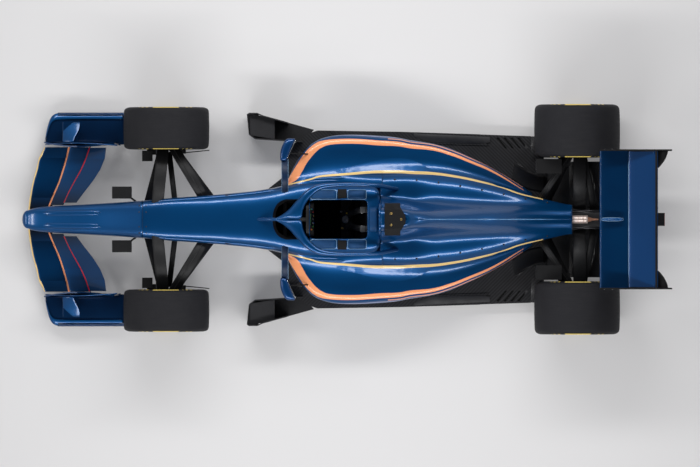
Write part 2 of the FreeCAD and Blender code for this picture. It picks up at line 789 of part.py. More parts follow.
def cover_loft(inset):
    wires = []
    fall = cover_z - tail_high * 0.76
    for along, wide, drop, top, hump, shoulder in smooth_rows(COVER_SHARES, 10):
        base_z = cover_z - fall * drop - (over if inset else 0)
        top_z = tail_high + (hoop_top - tail_high) * top - inset
        shoulder_z = cover_z - fall * drop + (chassis_high - cover_z) * shoulder - inset
        x = cover_start + cover_length * along
        wires.append(cover_section(x, cover_wide * wide - inset, base_z, top_z,
                                   hoop_wide * hump - inset * half,
                                   shoulder_z))
    return loft(wires)


cover_outer = cover_loft(0)
cover_inner = cover_loft(wall)
fin_tall = size("fin_height")
fin_points = [(0.30, 0.55), (0.34, 1.00), (0.60, 0.93), (1.00, 0.78), (1.00, 0.60), (0.70, 0.50)]
fin = slab([Vector(cover_start + cover_length * along, -size("fin_depth") * half, fin_tall * tall)
            for along, tall in fin_points], ACROSS * size("fin_depth"))
hoop_box = box_between((cover_start - over, -hoop_wide * 1.1, neck_z),
                       (cover_start + hoop_length, hoop_wide * 1.1, hoop_top + over))


saddle_start = hoop_x + size("saddle_length") * 0.2
mount_r = size("camera_mount_circle") * half
mount_x = saddle_start + size("saddle_length") * 0.48


def camera_saddle(tall):
    """The flat-topped saddle over the hoop, with its three screw holes."""
    long = size("saddle_length")
    profile = [(0.60, 0), (1.02, 0.30), (1.02, 0.42), (0.5, 0.55)]
    section = [Vector(saddle_start, hoop_wide * y, saddle_top - tall * drop) for y, drop in profile]
    section += [Vector(p.x, -p.y, p.z) for p in reversed(section)]
    block = slab(section, Vector(long, 0, 0))
    for side in (-1, 1):
        corner = [Vector(saddle_start + long, side * hoop_wide * 0.25, saddle_top - tall),
                  Vector(saddle_start + long + over, side * hoop_wide * 0.25, saddle_top - tall),
                  Vector(saddle_start + long + over, side * hoop_wide * 1.2, saddle_top - tall),
                  Vector(saddle_start + long * 0.75, side * hoop_wide * 1.2, saddle_top - tall),
                  Vector(saddle_start + long * 0.76, side * hoop_wide * 0.75, saddle_top - tall)]
        block = block.cut(slab(corner, UP * tall * 2))
    return block


def mount_bores():
    """The three screw holes, from above the saddle to inside the hoop's duct."""
    bores = []
    low = hoop_top - size("saddle_depth") * 2 - size("hoop_mouth_wall")
    count = round(size("camera_mount_count"))
    for spot in range(count):
        angle = 2 * math.pi / count * spot
        centre = Vector(mount_x + mount_r * math.cos(angle), mount_r * math.sin(angle), low)
        bores.append(Part.makeCylinder(size("camera_mount_hole"), saddle_top + over - low, centre, UP))
    return bores


def intake():
    """The roll hoop: an upright arch with a deep mouth."""
    low = neck_z + gap
    tall = hoop_top - low
    ring = []
    for share in (0.0, 1.0):
        x = hoop_x + hoop_length * share
        w = hoop_wide * (1 - 0.16 * share)
        h = low + tall * (1 - 0.02 * share)
        ring.append(closed_spline(symmetric([
            Vector(x, 0, h), Vector(x, w * 0.62, h - tall * 0.05), Vector(x, w, h - tall * 0.34),
            Vector(x, w * 0.90, low + tall * 0.30), Vector(x, w * 0.60, low + tall * 0.06),
            Vector(x, 0, low)])))
    shell = loft(ring)
    saddle = camera_saddle(tall).cut(shell)
    mouth = []
    lip = size("hoop_mouth_wall")
    for share in (-0.1, 0.8):
        x = hoop_x + hoop_length * share
        w = hoop_wide * (1 - 0.30 * max(share, 0)) - lip
        mouth.append(closed_spline(symmetric([
            Vector(x, 0, hoop_top - lip), Vector(x, w * 0.62, hoop_top - lip - tall * 0.05),
            Vector(x, w, hoop_top - tall * 0.34), Vector(x, w * 0.86, low + tall * 0.34),
            Vector(x, w * 0.5, low + tall * 0.12), Vector(x, 0, low + lip)])))
    return largest(shell.cut([loft(mouth)] + mount_bores())), largest(saddle.cut(mount_bores()))


hoop_solid, saddle_solid = intake()
feature_of(hoop_solid, "roll_hoop")
feature_of(saddle_solid, "camera_saddle")
cover = cover_outer.cut(cover_inner).fuse(fin.cut(cover_inner)).cut(hoop_box).cut(tub_room).cut(halo_room)
feature_of(largest(cover), "engine_cover")


# Side pods: the upper face runs out from the cover's edge, the lower one is cut under.
pod_wide = size("pod_width") * half
pod_high = size("pod_height")
pod_start = cockpit_x - size("cockpit_length") * 0.37
pod_end = rear_axle_x - size("wheelbase") * 0.115
pod_length = pod_end - pod_start
# Shares along the pod, of its half width, of its height for the outer shoulder, the widest
# line, the foot's half width, the inner top edge and the crest's half width.
POD_SHARES = [
    (0.00, 0.330, 0.960, 0.870, 0.315, 0.980, 0.320), (0.06, 0.590, 0.965, 0.860, 0.430, 0.985, 0.410),
    (0.10, 0.740, 0.960, 0.850, 0.460, 0.985, 0.450), (0.14, 0.900, 0.950, 0.840, 0.520, 0.980, 0.480),
    (0.19, 0.970, 0.940, 0.830, 0.560, 0.970, 0.510), (0.29, 1.000, 0.910, 0.800, 0.620, 0.950, 0.537),
    (0.42, 0.985, 0.860, 0.730, 0.680, 0.910, 0.562), (0.55, 0.920, 0.780, 0.630, 0.690, 0.850, 0.555),
    (0.68, 0.790, 0.660, 0.510, 0.640, 0.780, 0.518), (0.80, 0.620, 0.540, 0.400, 0.540, 0.720, 0.447),
    (0.90, 0.445, 0.430, 0.320, 0.400, 0.690, 0.350), (1.00, 0.320, 0.360, 0.270, 0.300, 0.660, 0.270),
]


def pod_section(x, wide, shoulder, widest, foot, inner_top, crest_y, inner_y):
    """Half the pod: level out to the crest, down to a plateau, round the widest line and in to the foot."""
    low = floor_top + gap
    out = wide - crest_y
    points = [
        Vector(x, inner_y, pod_high * (inner_top + 0.055)),
        Vector(x, inner_y + (crest_y - inner_y) * 0.90, pod_high * (inner_top + 0.045)),
        Vector(x, crest_y + out * 0.24, pod_high * (inner_top * 0.75 + shoulder * 0.25)),
        Vector(x, crest_y + out * 0.58, pod_high * (inner_top * 0.35 + shoulder * 0.65)),
        Vector(x, crest_y + out * 0.88, pod_high * (shoulder * 0.93 + widest * 0.07)),
        Vector(x, wide, pod_high * widest),
        Vector(x, inner_y + (wide - inner_y) * 0.91, pod_high * widest * 0.72 + low * 0.28),
        Vector(x, (foot + wide) * half, low + (pod_high * widest - low) * 0.25), Vector(x, foot, low)]
    skin = open_spline(points)
    corner = Vector(x, inner_y, low)
    under = Part.LineSegment(points[-1], corner).toShape()
    inside = Part.LineSegment(corner, points[0]).toShape()
    return Part.Wire([skin, under, inside])


def pod_loft():
    wires = []
    inner_y = size("engine_width") * half + size("running_gap")
    for along, wide, shoulder, widest, foot, inner_top, crest in smooth_rows(POD_SHARES, 16):
        wires.append(pod_section(pod_start + pod_length * along, pod_wide * wide, shoulder, widest,
                                 pod_wide * foot, inner_top, pod_wide * crest, inner_y))
    return loft(wires)


def pod_inlet():
    """The mouth behind the leading edge, swept like the edge itself."""
    top = pod_high * 0.90
    low = top - size("pod_inlet_height")
    side = chassis_wide + wall
    plan = [Vector(pod_start - over, side, low), Vector(pod_start - over, pod_wide * 0.62, low),
            Vector(pod_start + pod_length * 0.135, pod_wide * 0.86, low),
            Vector(pod_start + pod_length * 0.26, pod_wide * 0.90, low),
            Vector(pod_start + pod_length * 0.26, side, low)]
    return slab(plan, UP * (top - low))


pod_solid = largest(pod_loft().cut(tub_room).cut(cover_outer).cut(pod_inlet()))
pod_right = feature_of(pod_solid, "sidepod_right")
mirrored(pod_right, "sidepod_left")


# The floor: one flat panel with its plank, out to the edges beside the pods.
FLOOR_EDGE = "floor_width / 2"
FLOOR_REAR = "floor_rear_width / 2"


def floor_plate():
    body = new_body("floor")
    right = [
        (FRONT_AXLE + " + wheelbase * 0.20", "plank_width * 0.36"),
        (FRONT_AXLE + " + wheelbase * 0.21", "plank_width * 0.52"),
        (FRONT_AXLE + " + wheelbase * 0.285", "floor_width * 0.24"),
        (FRONT_AXLE + " + wheelbase * 0.30", "floor_width * 0.41"),
        (FRONT_AXLE + " + wheelbase * 0.345", FLOOR_EDGE + " * 0.965"),
        (FRONT_AXLE + " + wheelbase * 0.368", FLOOR_EDGE),
        (FRONT_AXLE + " + wheelbase * 0.57", FLOOR_EDGE + " * 0.985"),
        (REAR_AXLE + " - wheelbase * 0.19", FLOOR_EDGE + " * 0.948"),
        (REAR_AXLE + " - tyre_radius - running_gap * 4", FLOOR_EDGE + " * 0.936"),
        (REAR_AXLE + " - tyre_radius - running_gap * 3", FLOOR_REAR),
        (REAR_AXLE + " - tyre_radius * 0.7", FLOOR_REAR),
    ]
    left = [(x, "-(%s)" % y) for x, y in reversed(right)]
    sketch = outline(body, "floor_plan", "XY_Plane", right + left)
    pad(body, "floor_panel", sketch, "floor_depth")
    for number, sign in enumerate(("", "-")):
        strip = [
            (FRONT_AXLE + " + wheelbase * 0.395", sign + FLOOR_EDGE + " * 0.996"),
            (FRONT_AXLE + " + wheelbase * 0.57", sign + FLOOR_EDGE + " * 0.985"),
            (REAR_AXLE + " - wheelbase * 0.235", sign + FLOOR_EDGE + " * 0.957"),
            (REAR_AXLE + " - wheelbase * 0.215", sign + FLOOR_EDGE + " * 0.83"),
            (FRONT_AXLE + " + wheelbase * 0.57", sign + FLOOR_EDGE + " * 0.86"),
            (FRONT_AXLE + " + wheelbase * 0.43", sign + FLOOR_EDGE + " * 0.90"),
        ]
        edge = outline(body, "floor_strip_plan_%d" % number, "XY_Plane", strip)
        pad(body, "floor_strip_%d" % number, edge, "floor_depth + strip_rise")
        for slot in range(4):
            start = REAR_AXLE + " - wheelbase * %.3f" % (0.196 - 0.017 * slot)
            corners = [
                (start, sign + FLOOR_EDGE + " * 0.92"), (start + " + slot_width",
                                                         sign + FLOOR_EDGE + " * 0.92"),
                (start + " + slot_width * 4.6", sign + FLOOR_EDGE + " * 0.80"),
                (start + " + slot_width * 3.6", sign + FLOOR_EDGE + " * 0.80"),
            ]
            cut = outline(body, "floor_slot_plan_%d_%d" % (number, slot), "XY_Plane", corners)
            pocket(body, "floor_slot_%d_%d" % (number, slot), cut, "floor_depth * 2", midplane=True)
    put(body, "0", "0", "ride_height + plank_depth")
    return keep(body, "floor")


def plank_bar():
    body = new_body("plank")
    right = [
        (FRONT_AXLE + " + wheelbase * 0.21", "plank_width * 0.36"),
        (FRONT_AXLE + " + wheelbase * 0.222", "plank_width / 2"),
        (REAR_AXLE + " - tyre_radius", "plank_width / 2"),
    ]
    left = [(x, "-(%s)" % y) for x, y in reversed(right)]
    sketch = outline(body, "plank_plan", "XY_Plane", right + left)
    pad(body, "plank_bar", sketch, "plank_depth")
    put(body, "0", "0", "ride_height")
    return keep(body, "plank")


floor_piece = floor_plate()
plank_bar()
doc.recompute()


def diffuser():
    """The rising rear of the floor, with two side walls and two fences."""
    start = rear_axle_x - size("tyre_radius") * 0.7 + gap
    end = rear_axle_x + size("tyre_radius") * 0.80
    rise = size("diffuser_rise")
    plate = size("diffuser_wall")
    side = size("floor_rear_width") * half
    steps = [(0.0, 0.0), (0.35, 0.22), (0.70, 0.60), (1.0, 1.0)]
    upper = [Vector(start + (end - start) * x, -side, floor_low + plate + rise * z) for x, z in steps]
    lower = [Vector(start + (end - start) * x, -side, floor_low + rise * z) for x, z in reversed(steps)]
    roof = slab(upper + lower, ACROSS * side * 2)
    fences = []
    for y in (-side, -side * 0.36 - plate * half, side * 0.36 - plate * half, side - plate):
        foot = [Vector(p.x, y, p.z) for p in upper] + [Vector(end, y, floor_low), Vector(start, y, floor_low)]
        fences.append(slab(foot, ACROSS * plate))
    return roof.fuse(fences).removeSplitter()


def floor_board():
    """The board ahead of the floor: a foot, a curved outer wall, an inner wall and slats."""
    plate = size("board_wall")
    edge = size("floor_width") * half
    front = front_axle_x + size("wheelbase") * 0.195
    back = front_axle_x + size("wheelbase") * 0.366
    long = back - front
    outer_y = edge * 1.195
    inner_y = edge * 0.90
    plan = [(0.0, outer_y * 0.99), (0.03, outer_y), (0.155, outer_y), (0.175, outer_y * 0.975),
            (0.23, outer_y * 0.977),
            (0.96, edge + size("running_gap")), (0.80, inner_y * 0.962), (0.12, inner_y),
            (0.03, inner_y * 1.06)]
    foot = slab([Vector(front + long * x, y, floor_low) for x, y in plan], UP * plate)
    tall = size("board_height")
    wall_out = [(0.03, outer_y), (0.155, outer_y), (0.23, outer_y * 0.977), (0.60, outer_y * 0.91)]
    outside = [Vector(front + long * x, y, floor_low) for x, y in wall_out]
    inside = [p - Vector(0, plate, 0) for p in reversed(outside)]
    outer_wall = slab(outside + inside, UP * tall)
    wall_in = [(0.04, inner_y * 1.05), (0.12, inner_y), (0.80, inner_y * 0.962)]
    near = [Vector(front + long * x, y, floor_low) for x, y in wall_in]
    far = [p + Vector(0, plate, 0) for p in reversed(near)]
    inner_wall = slab(near + far, UP * tall * 0.8)
    slats = []
    for share in (0.30, 0.52, 0.74):
        z = floor_low + tall * share
        corners = [Vector(front + long * 0.05, inner_y * 1.05, z),
                   Vector(front + long * 0.05, outer_y - plate * half, z),
                   Vector(front + long * 0.40, outer_y * 0.945, z), Vector(front + long * 0.40, inner_y, z)]
        slats.append(slab(corners, UP * plate * 0.8))
    shape = foot.fuse([outer_wall, inner_wall] + slats).removeSplitter()
    return largest(shape.cut(floor_piece.Shape))


board = feature_of(floor_board(), "floor_board_right")
mirrored(board, "floor_board_left")


# Front wing. Each element is lofted through wing sections along the span.
def wing_section(lead, trail, depth):
    """A wing's section from its leading to its trailing edge, flat side up."""
    run = trail - lead
    side = Vector(run.z, 0, -run.x).normalize()
    shares = [(0, 0), (0.06, 0.30), (0.22, 0.34), (0.60, 0.22), (0.985, 0.06)]
    under = [(0.985, -0.06), (0.60, -0.34), (0.24, -0.62), (0.05, -0.36)]
    points = [lead + run * along - side * (depth * up) for along, up in shares + under]
    ring = open_spline(points + [points[0]])
    return Part.Wire([ring])


def wing_element(stations, depth):
    """Lofts (y, leading x, leading z, trailing x, trailing z) rows."""
    wires = []
    for y, lead_x, lead_z, trail_x, trail_z in stations:
        wires.append(wing_section(Vector(lead_x, y, lead_z), Vector(trail_x, y, trail_z), depth))
    return loft(wires, True)


wing_inner = size("wing_inner_span") * half
wing_z = size("main_plane_height")
wing_chord = size("front_overhang") * 0.165
root_y = size("nose_width") * 0.40
# Shares of the half span, and of the front overhang behind the nose tip: the wing's leading
# edge, the slot behind the main plane, the slot between the flaps and the trailing edge.
WING_PLAN_SHARES = [
    (0.000, 0.028, 0.178, 0.270, 0.355), (0.195, 0.034, 0.180, 0.275, 0.362),
    (0.405, 0.050, 0.225, 0.320, 0.434), (0.540, 0.065, 0.252, 0.357, 0.486),
    (0.680, 0.086, 0.275, 0.397, 0.531), (0.820, 0.100, 0.295, 0.428, 0.562),
    (1.000, 0.145, 0.326, 0.469, 0.579),
]
WING_STEPS = 20
wing_plan = smooth_rows(WING_PLAN_SHARES, WING_STEPS + 1)


def wing_line(away, column):
    """X of one of the plan's lines, at a share of the half span."""
    step = min(away * WING_STEPS, WING_STEPS - 1)
    i = int(step)
    share = step - i if away < 1 else 1
    value = wing_plan[i][column] * (1 - share) + wing_plan[i + 1][column] * share
    return nose_x + size("front_overhang") * value


def main_plane():
    rows = []
    for share in (-1.0, -0.85, -0.7, -0.5, -0.3, -0.15, 0.0, 0.15, 0.3, 0.5, 0.7, 0.85, 1.0):
        away = abs(share)
        lift = size("main_plane_depth") * (1.5 * max(0, 1 - away * 3) + 0.9 * max(0, away - 0.85) * 6)
        rows.append((wing_inner * share, wing_line(away, 1), wing_z + lift,
                     wing_line(away, 2) + size("flap_gap"), wing_z + lift + wing_chord * 0.15))
    return wing_element(rows, size("main_plane_depth"))


def flap_rows(first, second, low_share, high_share, root, tip):
    """A flap's rows from its root beside the nose to its tip beside the end plate."""
    rows = []
    for share in (0.0, 0.2, 0.4, 0.6, 0.8, 1.0):
        y = root + (tip - root) * share
        away = y / wing_inner
        droop = 1 - 0.25 * share
        rows.append((y, wing_line(away, first), wing_z + wing_chord * low_share,
                     wing_line(away,
                               second),
                     wing_z + wing_chord * (low_share + (high_share - low_share) * droop)))
    return rows


flap_root = root_y + size("running_gap") * 2.2
lower_rows = flap_rows(2, 3, 0.26, 0.58, root_y - size("running_gap"), wing_inner - gap)
upper_rows = flap_rows(3, 4, 0.68, 1.20, flap_root, wing_inner - size("running_gap"))
main_wing = main_plane()
lower_flap = wing_element(lower_rows, size("flap_depth"))
lower_left = lower_flap.mirror(Vector(0, 0, 0), ACROSS)
stay_x = wing_line(0, 1)
nose_stay = slab([Vector(stay_x + wing_chord * 0.25, root_y * 0.56, wing_z + wing_chord * 0.10),
                  Vector(stay_x + wing_chord * 0.85, root_y * 0.56, wing_z + wing_chord * 0.10),
                  Vector(stay_x + wing_chord * 0.95, root_y * 0.56, nose_high * 0.45),
                  Vector(stay_x + wing_chord * 0.45, root_y * 0.56, nose_high * 0.45)],
                  ACROSS * size("flap_depth"))
nose_stays = [largest(piece.cut(nose_outer)) for piece in (nose_stay,
                                                           nose_stay.mirror(Vector(0, 0, 0), ACROSS))]
slot_stays = []
for share in (0.2, 0.8):
    y, lead_x, lead_z, trail_x, trail_z = lower_rows[round(share * 5)]
    bracket = box_between((lead_x - wing_chord * 0.06, y, wing_z + wing_chord * 0.08),
                          (lead_x + wing_chord * 0.16, y + size("wing_plate_depth") * half,
                           lead_z + size("flap_depth") * half))
    slot_stays += [bracket, bracket.mirror(Vector(0, 0, 0), ACROSS)]
front_wing = main_wing.fuse([lower_flap, lower_left] + nose_stays + slot_stays)
feature_of(front_wing, "front_wing")


def behind_edge(row, share):
    """A point in the flap, at a share of its chord behind the leading edge."""
    y, lead_x, lead_z, trail_x, trail_z = row
    return Vector(lead_x + (trail_x - lead_x) * share, y, lead_z + (trail_z - lead_z) * share)


pin_r = size("hinge_pin")
pin_hole = pin_r + size("hinge_pin_gap")
flap_hinge_root = behind_edge(upper_rows[0], 0.06)
flap_hinge_tip = behind_edge(upper_rows[-1], 0.06)
flap_hinge = (flap_hinge_tip - flap_hinge_root).normalize()
pin_reach = size("running_gap") + size("wing_plate_depth") * 1.6
flap_pin = rod(flap_hinge_tip - flap_hinge * pin_reach, flap_hinge_tip + flap_hinge * pin_reach, pin_r)
flap_bore = rod(flap_hinge_tip, flap_hinge_tip + flap_hinge * pin_reach * 2, pin_hole)
upper_flap = wing_element(upper_rows, size("flap_depth")).fuse(flap_pin)
flap_piece = feature_of(upper_flap, "front_flap_right")
mirrored(flap_piece, "front_flap_left")


def front_plate():
    """The end plate: an upright wall, a wide foot with a raised edge and a dive plane."""
    plate = size("wing_plate_depth")
    inner = wing_inner + gap
    start = nose_x + size("front_overhang") * 0.145
    end = front_axle_x - size("tyre_radius") - plate * 0.3
    long = end - start
    bow = [(0.0, 0.055), (0.12, 0.030), (0.33, 0.0), (0.50, 0.0), (0.68, 0.012), (0.86, 0.048), (0.96, 0.02)]
    outline_out = [Vector(start + long * x, inner + plate + inner * y,
                          wing_z - size("main_plane_depth") * 1.2) for x, y in bow]
    outline_in = [p - Vector(0, plate, 0) for p in reversed(outline_out)]
    wall_solid = slab(outline_out + outline_in, UP * size("front_plate_height"))
    low = wing_z - size("main_plane_depth") * 1.2
    side_cut = slab([Vector(start - over, 0, low + size("front_plate_height") * 0.55),
                     Vector(start + long * 0.42, 0, low + size("front_plate_height")),
                     Vector(start + long * 0.42, 0, low + size("front_plate_height") + over * 2),
                     Vector(start - over, 0, low + size("front_plate_height") + over * 2)],
                     ACROSS * size("wing_span"))
    tail_cut = slab([Vector(end + over, 0, low + size("front_plate_height") * 0.30),
                     Vector(end - long * 0.06, 0, low + size("front_plate_height") * 0.42),
                     Vector(end - long * 0.13, 0, low + size("front_plate_height") + over * 2),
                     Vector(end + over, 0, low + size("front_plate_height") + over * 2)],
                     ACROSS * size("wing_span"))
    outer = size("wing_span") * half
    foot = slab([Vector(start + long * 0.02, inner + inner * 0.05, low),
                 Vector(start + long * 0.15, outer * 0.992, low),
    Vector(start + long * 0.19, outer, low),
                 Vector(end, outer, low), Vector(end, inner + inner * 0.02 + plate, low),
                 Vector(start + long * 0.5, inner + plate * half, low),
                 Vector(start + long * 0.2, inner + plate + inner * 0.01, low)], UP * plate)
    roll = plate * 1.7
    edge = rod(Vector(start + long * 0.17, outer - roll, low + roll),
               Vector(end, outer - roll, low + roll), roll)
    dive_z = low + size("front_plate_height") * 0.45
    dive = slab([Vector(start + long * 0.24, inner + plate * half, dive_z),
                 Vector(start + long * 0.24, outer * 0.91, dive_z),
                 Vector(start + long * 0.48, outer * 0.91, dive_z),
                 Vector(start + long * 0.40, inner + plate * half, dive_z)],
                UP * plate * 0.7)
    return wall_solid.cut(side_cut).cut(tail_cut).fuse([foot, edge, dive]).removeSplitter()


plate_solid = front_plate().cut(main_wing).cut(lower_flap).cut(flap_bore)
plate_right = feature_of(largest(plate_solid), "front_endplate_right")
mirrored(plate_right, "front_endplate_left")


# Gearbox with the crash box behind it, the power unit ahead of it, and the tail lamp.
gear_start = tub_end_x + gap + size("engine_length") + gap
gear_wide = size("gearbox_width") * half
gear_top = size("gearbox_top")
gear_low = gear_top - size("gearbox_height")
crash_high = size("crash_box_height")
crash_end = tail_x - size("rear_overhang") * 0.058 - size("lamp_depth") - gap
GEAR_SHARES = [(0.0, 1.0, 0.0, 1.0), (0.20, 0.90, 0.05, 0.99), (0.48, 0.66, 0.20, 0.93),
               (0.64, 0.44, 0.50, 0.90),
               (0.80, 0.38, 0.58, 0.88), (1.0, 0.36, 0.60, 0.86)]


def gearbox_loft(extra):
    tall = size("gearbox_height")
    return body_loft([(gear_start + (crash_end - gear_start) * along, gear_wide * wide + extra,
                       gear_low + tall * low - extra, gear_low + tall * high + extra)
                      for along, wide, low, high in smooth_rows(GEAR_SHARES, 9)])


gearbox = gearbox_loft(0)
gearbox_room = gearbox_loft(gap)
feature_of(gearbox, "gearbox")
feature_of(largest(diffuser().cut(gearbox)), "diffuser")

lamp = keep(doc.addObject("Part::Box", "tail_lamp_box"), "tail_lamp")
lamp.setExpression("Length", formula("lamp_depth"))
lamp.setExpression("Width", formula("gearbox_width * 0.36"))
lamp.setExpression("Height", formula("gearbox_height * 0.26"))
put(lamp, "(wheelbase + front_overhang + rear_overhang) / 2 - rear_overhang * 0.058 - lamp_depth",
    "-gearbox_width * 0.18", "gearbox_top - gearbox_height * 0.40")

engine = keep(doc.addObject("Part::Box", "power_unit_box"), "power_unit")
engine.setExpression("Length", formula("engine_length"))
engine.setExpression("Width", formula("engine_width"))
engine.setExpression("Height", formula("engine_height"))
put(engine, FRONT_AXLE + " + wheelbase * 0.615 + seat_gap", "-engine_width / 2",
    "ride_height + plank_depth + floor_depth + seat_gap")


# Suspension. Streamlined arms run from the body to a boss on the kingpin.
def inner_trim(shape, others):
    for other in others:
        shape = shape.cut(other)
    return shape


def boss(x, y, z):
    tall = size("arm_depth")
    return Part.makeCylinder(size("ball_radius"), tall, Vector(x, y, z - tall * half), UP)


def front_suspension():
    chord = size("arm_chord")
    depth = size("arm_depth")
    high = size("upper_arm_height")
    low = size("lower_arm_height")
    root = nose_wide * half
    upper_front = strut(Vector(front_axle_x - chord * 0.76, root, high + depth * 1.7),
                        Vector(front_axle_x - chord * 0.22, kingpin_y, high), chord, depth)
    upper_rear = strut(Vector(front_axle_x + chord * 3.75, root, high + depth * 1.9),
                       Vector(front_axle_x + chord * 0.45, kingpin_y, high), chord, depth)
    upper = [upper_front, upper_rear]
    lower_front = strut(Vector(front_axle_x - chord * 1.60, root, low + depth * 4.2),
                        Vector(front_axle_x - chord * 0.20, kingpin_y, low), chord * 0.86, depth)
    lower_rear = strut(Vector(front_axle_x + chord * 4.4, root, low + depth * 3.6),
                       Vector(front_axle_x + chord * 0.35, kingpin_y, low), chord * 0.86, depth)
    push = strut(Vector(front_axle_x + chord * 0.82, root, high + depth),
                 Vector(front_axle_x + chord * 0.20, kingpin_y - size("upright_depth"), low),
                 size("rod_chord"), size("rod_depth"))
    lower = [lower_front, lower_rear, push]
    wishbones = []
    for legs, z, inward in ((upper, high, -1), (lower, low, 1)):
        stub_room = rod(Vector(front_axle_x, kingpin_y, z + depth * half * inward),
                        Vector(front_axle_x, kingpin_y, z + depth * 2 * inward), size("ball_radius"))
        trimmed = [largest(inner_trim(leg, [tub_room, stub_room])) for leg in legs]
        wishbones.append(boss(front_axle_x, kingpin_y, z).fuse(trimmed))
    return Part.makeCompound(wishbones)


arms = feature_of(front_suspension(), "front_suspension_right")
mirrored(arms, "front_suspension_left")


def steering_rack():
    """The bar that slides across the car, with an eye over each steering arm's pin."""
    r = size("track_rod_radius")
    reach = kingpin_y
    bar = rod(Vector(track_rod_x, -reach + r, track_rod_z), Vector(track_rod_x, reach - r, track_rod_z), r)
    eyes = []
    holes = []
    for y in (-reach, reach):
        eyes.append(Part.makeCylinder(r * 1.8, r * 1.2, Vector(track_rod_x, y, track_rod_z - r * 0.6), UP))
        holes.append(Part.makeCylinder(r, r * 4, Vector(track_rod_x, y, track_rod_z - r * 2), UP))
    shape = bar.fuse(eyes)
    for hole in holes:
        shape = shape.cut(hole)
    return largest(shape)


feature_of(steering_rack(), "steering_rack")

def rear_suspension():
    chord = size("rear_arm_chord")
    depth = size("arm_depth")
    high = size("upper_arm_height") - depth * 1.4
    low = size("lower_arm_height") - depth * 0.7
    outer = rear_hub_back - size("running_gap") - size("drum_depth") * 1.4 - size("upright_depth") * half
    root = size("gearbox_width") * 0.22
    wide = size("upright_width") * half
    links = [
        (Vector(rear_axle_x - chord * 6.0, root, gear_top - depth * 1.2),
         Vector(rear_axle_x - wide * half, outer, high), chord, depth),
        (Vector(rear_axle_x + chord * 0.3, root, gear_top - depth * 2),
         Vector(rear_axle_x + chord * 0.3, outer, high), chord * 1.7, depth),
        (Vector(rear_axle_x - chord * 4.6, root, low + depth),
         Vector(rear_axle_x - wide * half, outer, low + depth), chord, depth),
        (Vector(rear_axle_x + chord * 2.6, root, low + depth * 5.2),
         Vector(rear_axle_x + wide * half, outer, low + depth), chord, depth),
        (Vector(rear_axle_x + chord * 2.2, root, gear_top - depth * 3.6),
         Vector(rear_axle_x + wide * 0.86, outer, axle_z + depth * 2.4), size("rod_chord"),
        size("rod_depth")),
    ]
    solids = []
    for start, end, c, d in links:
        solids.append(strut(start, end, c, d))
    shaft = rod(Vector(rear_axle_x, root, axle_z - depth), Vector(rear_axle_x, outer, axle_z),
                size("shaft_radius"))
    solids.append(shaft)
    trimmed = [largest(inner_trim(solid, [gearbox_room, hub_right.Shape])) for solid in solids]
    return Part.makeCompound(trimmed)


rear_arms = feature_of(rear_suspension(), "rear_suspension_right")
mirrored(rear_arms, "rear_suspension_left")


# Rear wing: a main plane on a centre pylon, a flap that opens, and two curved end plates.
rear_top = size("rear_wing_height")
rear_front = rear_axle_x + size("wheelbase") * 0.052
rear_chord = size("rear_overhang") * 0.292
rear_half = size("rear_wing_span") * half
rear_plate = size("rear_plate_depth")
rear_inner = rear_half - rear_plate


def rear_plane():
    depth = size("rear_plane_depth")
    rows = []
    for share in (-1.0, -0.5, 0.0, 0.5, 1.0):
        rows.append(((rear_inner - gap) * share, rear_front, rear_top - rear_chord * 0.68,
                     rear_front + rear_chord, rear_top - rear_chord * 0.53))
    return wing_element(rows, depth)


def rear_wing():
    plane = rear_plane()
    thick = rear_plate
    neck = slab([Vector(rear_front + rear_chord * 0.15, -thick * half, rear_top - rear_chord * 0.72),
                 Vector(rear_front + rear_chord * 0.75, -thick * half, rear_top - rear_chord * 0.72),
                 Vector(rear_front + rear_chord * 0.80, -thick * half, axle_z + crash_high * 1.6),
                 Vector(rear_front + rear_chord * 0.95, -thick * half, axle_z),
                 Vector(rear_front + rear_chord * 0.25, -thick * half, axle_z),
                 Vector(rear_front + rear_chord * 0.30, -thick * half, axle_z + crash_high * 1.6)],
                 ACROSS * thick)
    pod_body = slab([Vector(rear_front + rear_chord * 0.06, -thick, rear_top - rear_chord * 0.64),
                     Vector(rear_front + rear_chord * 0.20, -thick, rear_top - rear_chord * 0.40),
                     Vector(rear_front + rear_chord * 0.84, -thick, rear_top - rear_chord * 0.34),
                     Vector(rear_front + rear_chord * 0.86, -thick, rear_top - rear_chord * 0.62)],
                     ACROSS * thick * 2)
    return largest(plane.fuse([neck, pod_body]).cut(gearbox).removeSplitter())


feature_of(rear_wing(), "rear_wing")


rear_lead = rear_front + rear_chord * 1.04
rear_hinge = Vector(rear_lead + rear_chord * 0.95, 0, rear_top - rear_chord * 0.03)


def rear_pins(radius, reach):
    """Stubs on the flap's hinge line, from just inside its tips out to the end plates."""
    side = rear_inner - size("running_gap")
    inward = size("rear_plate_depth") * 2
    return [rod(rear_hinge + ACROSS * sign * (side - inward),
                rear_hinge + ACROSS * sign * (side + reach), radius)
            for sign in (-1, 1)]


def rear_flap():
    rows = []
    lead_x = rear_lead
    side = rear_inner - size("running_gap")
    for share in (-1.0, -0.5, 0.0, 0.5, 1.0):
        rows.append((side * share, lead_x, rear_top - rear_chord * 0.43, lead_x + rear_chord * 1.03,
                     rear_top))
    return wing_element(rows, size("rear_flap_depth")).fuse(rear_pins(pin_r,
                                                                      size("running_gap") + rear_plate * 0.8))


feature_of(rear_flap(), "rear_flap")


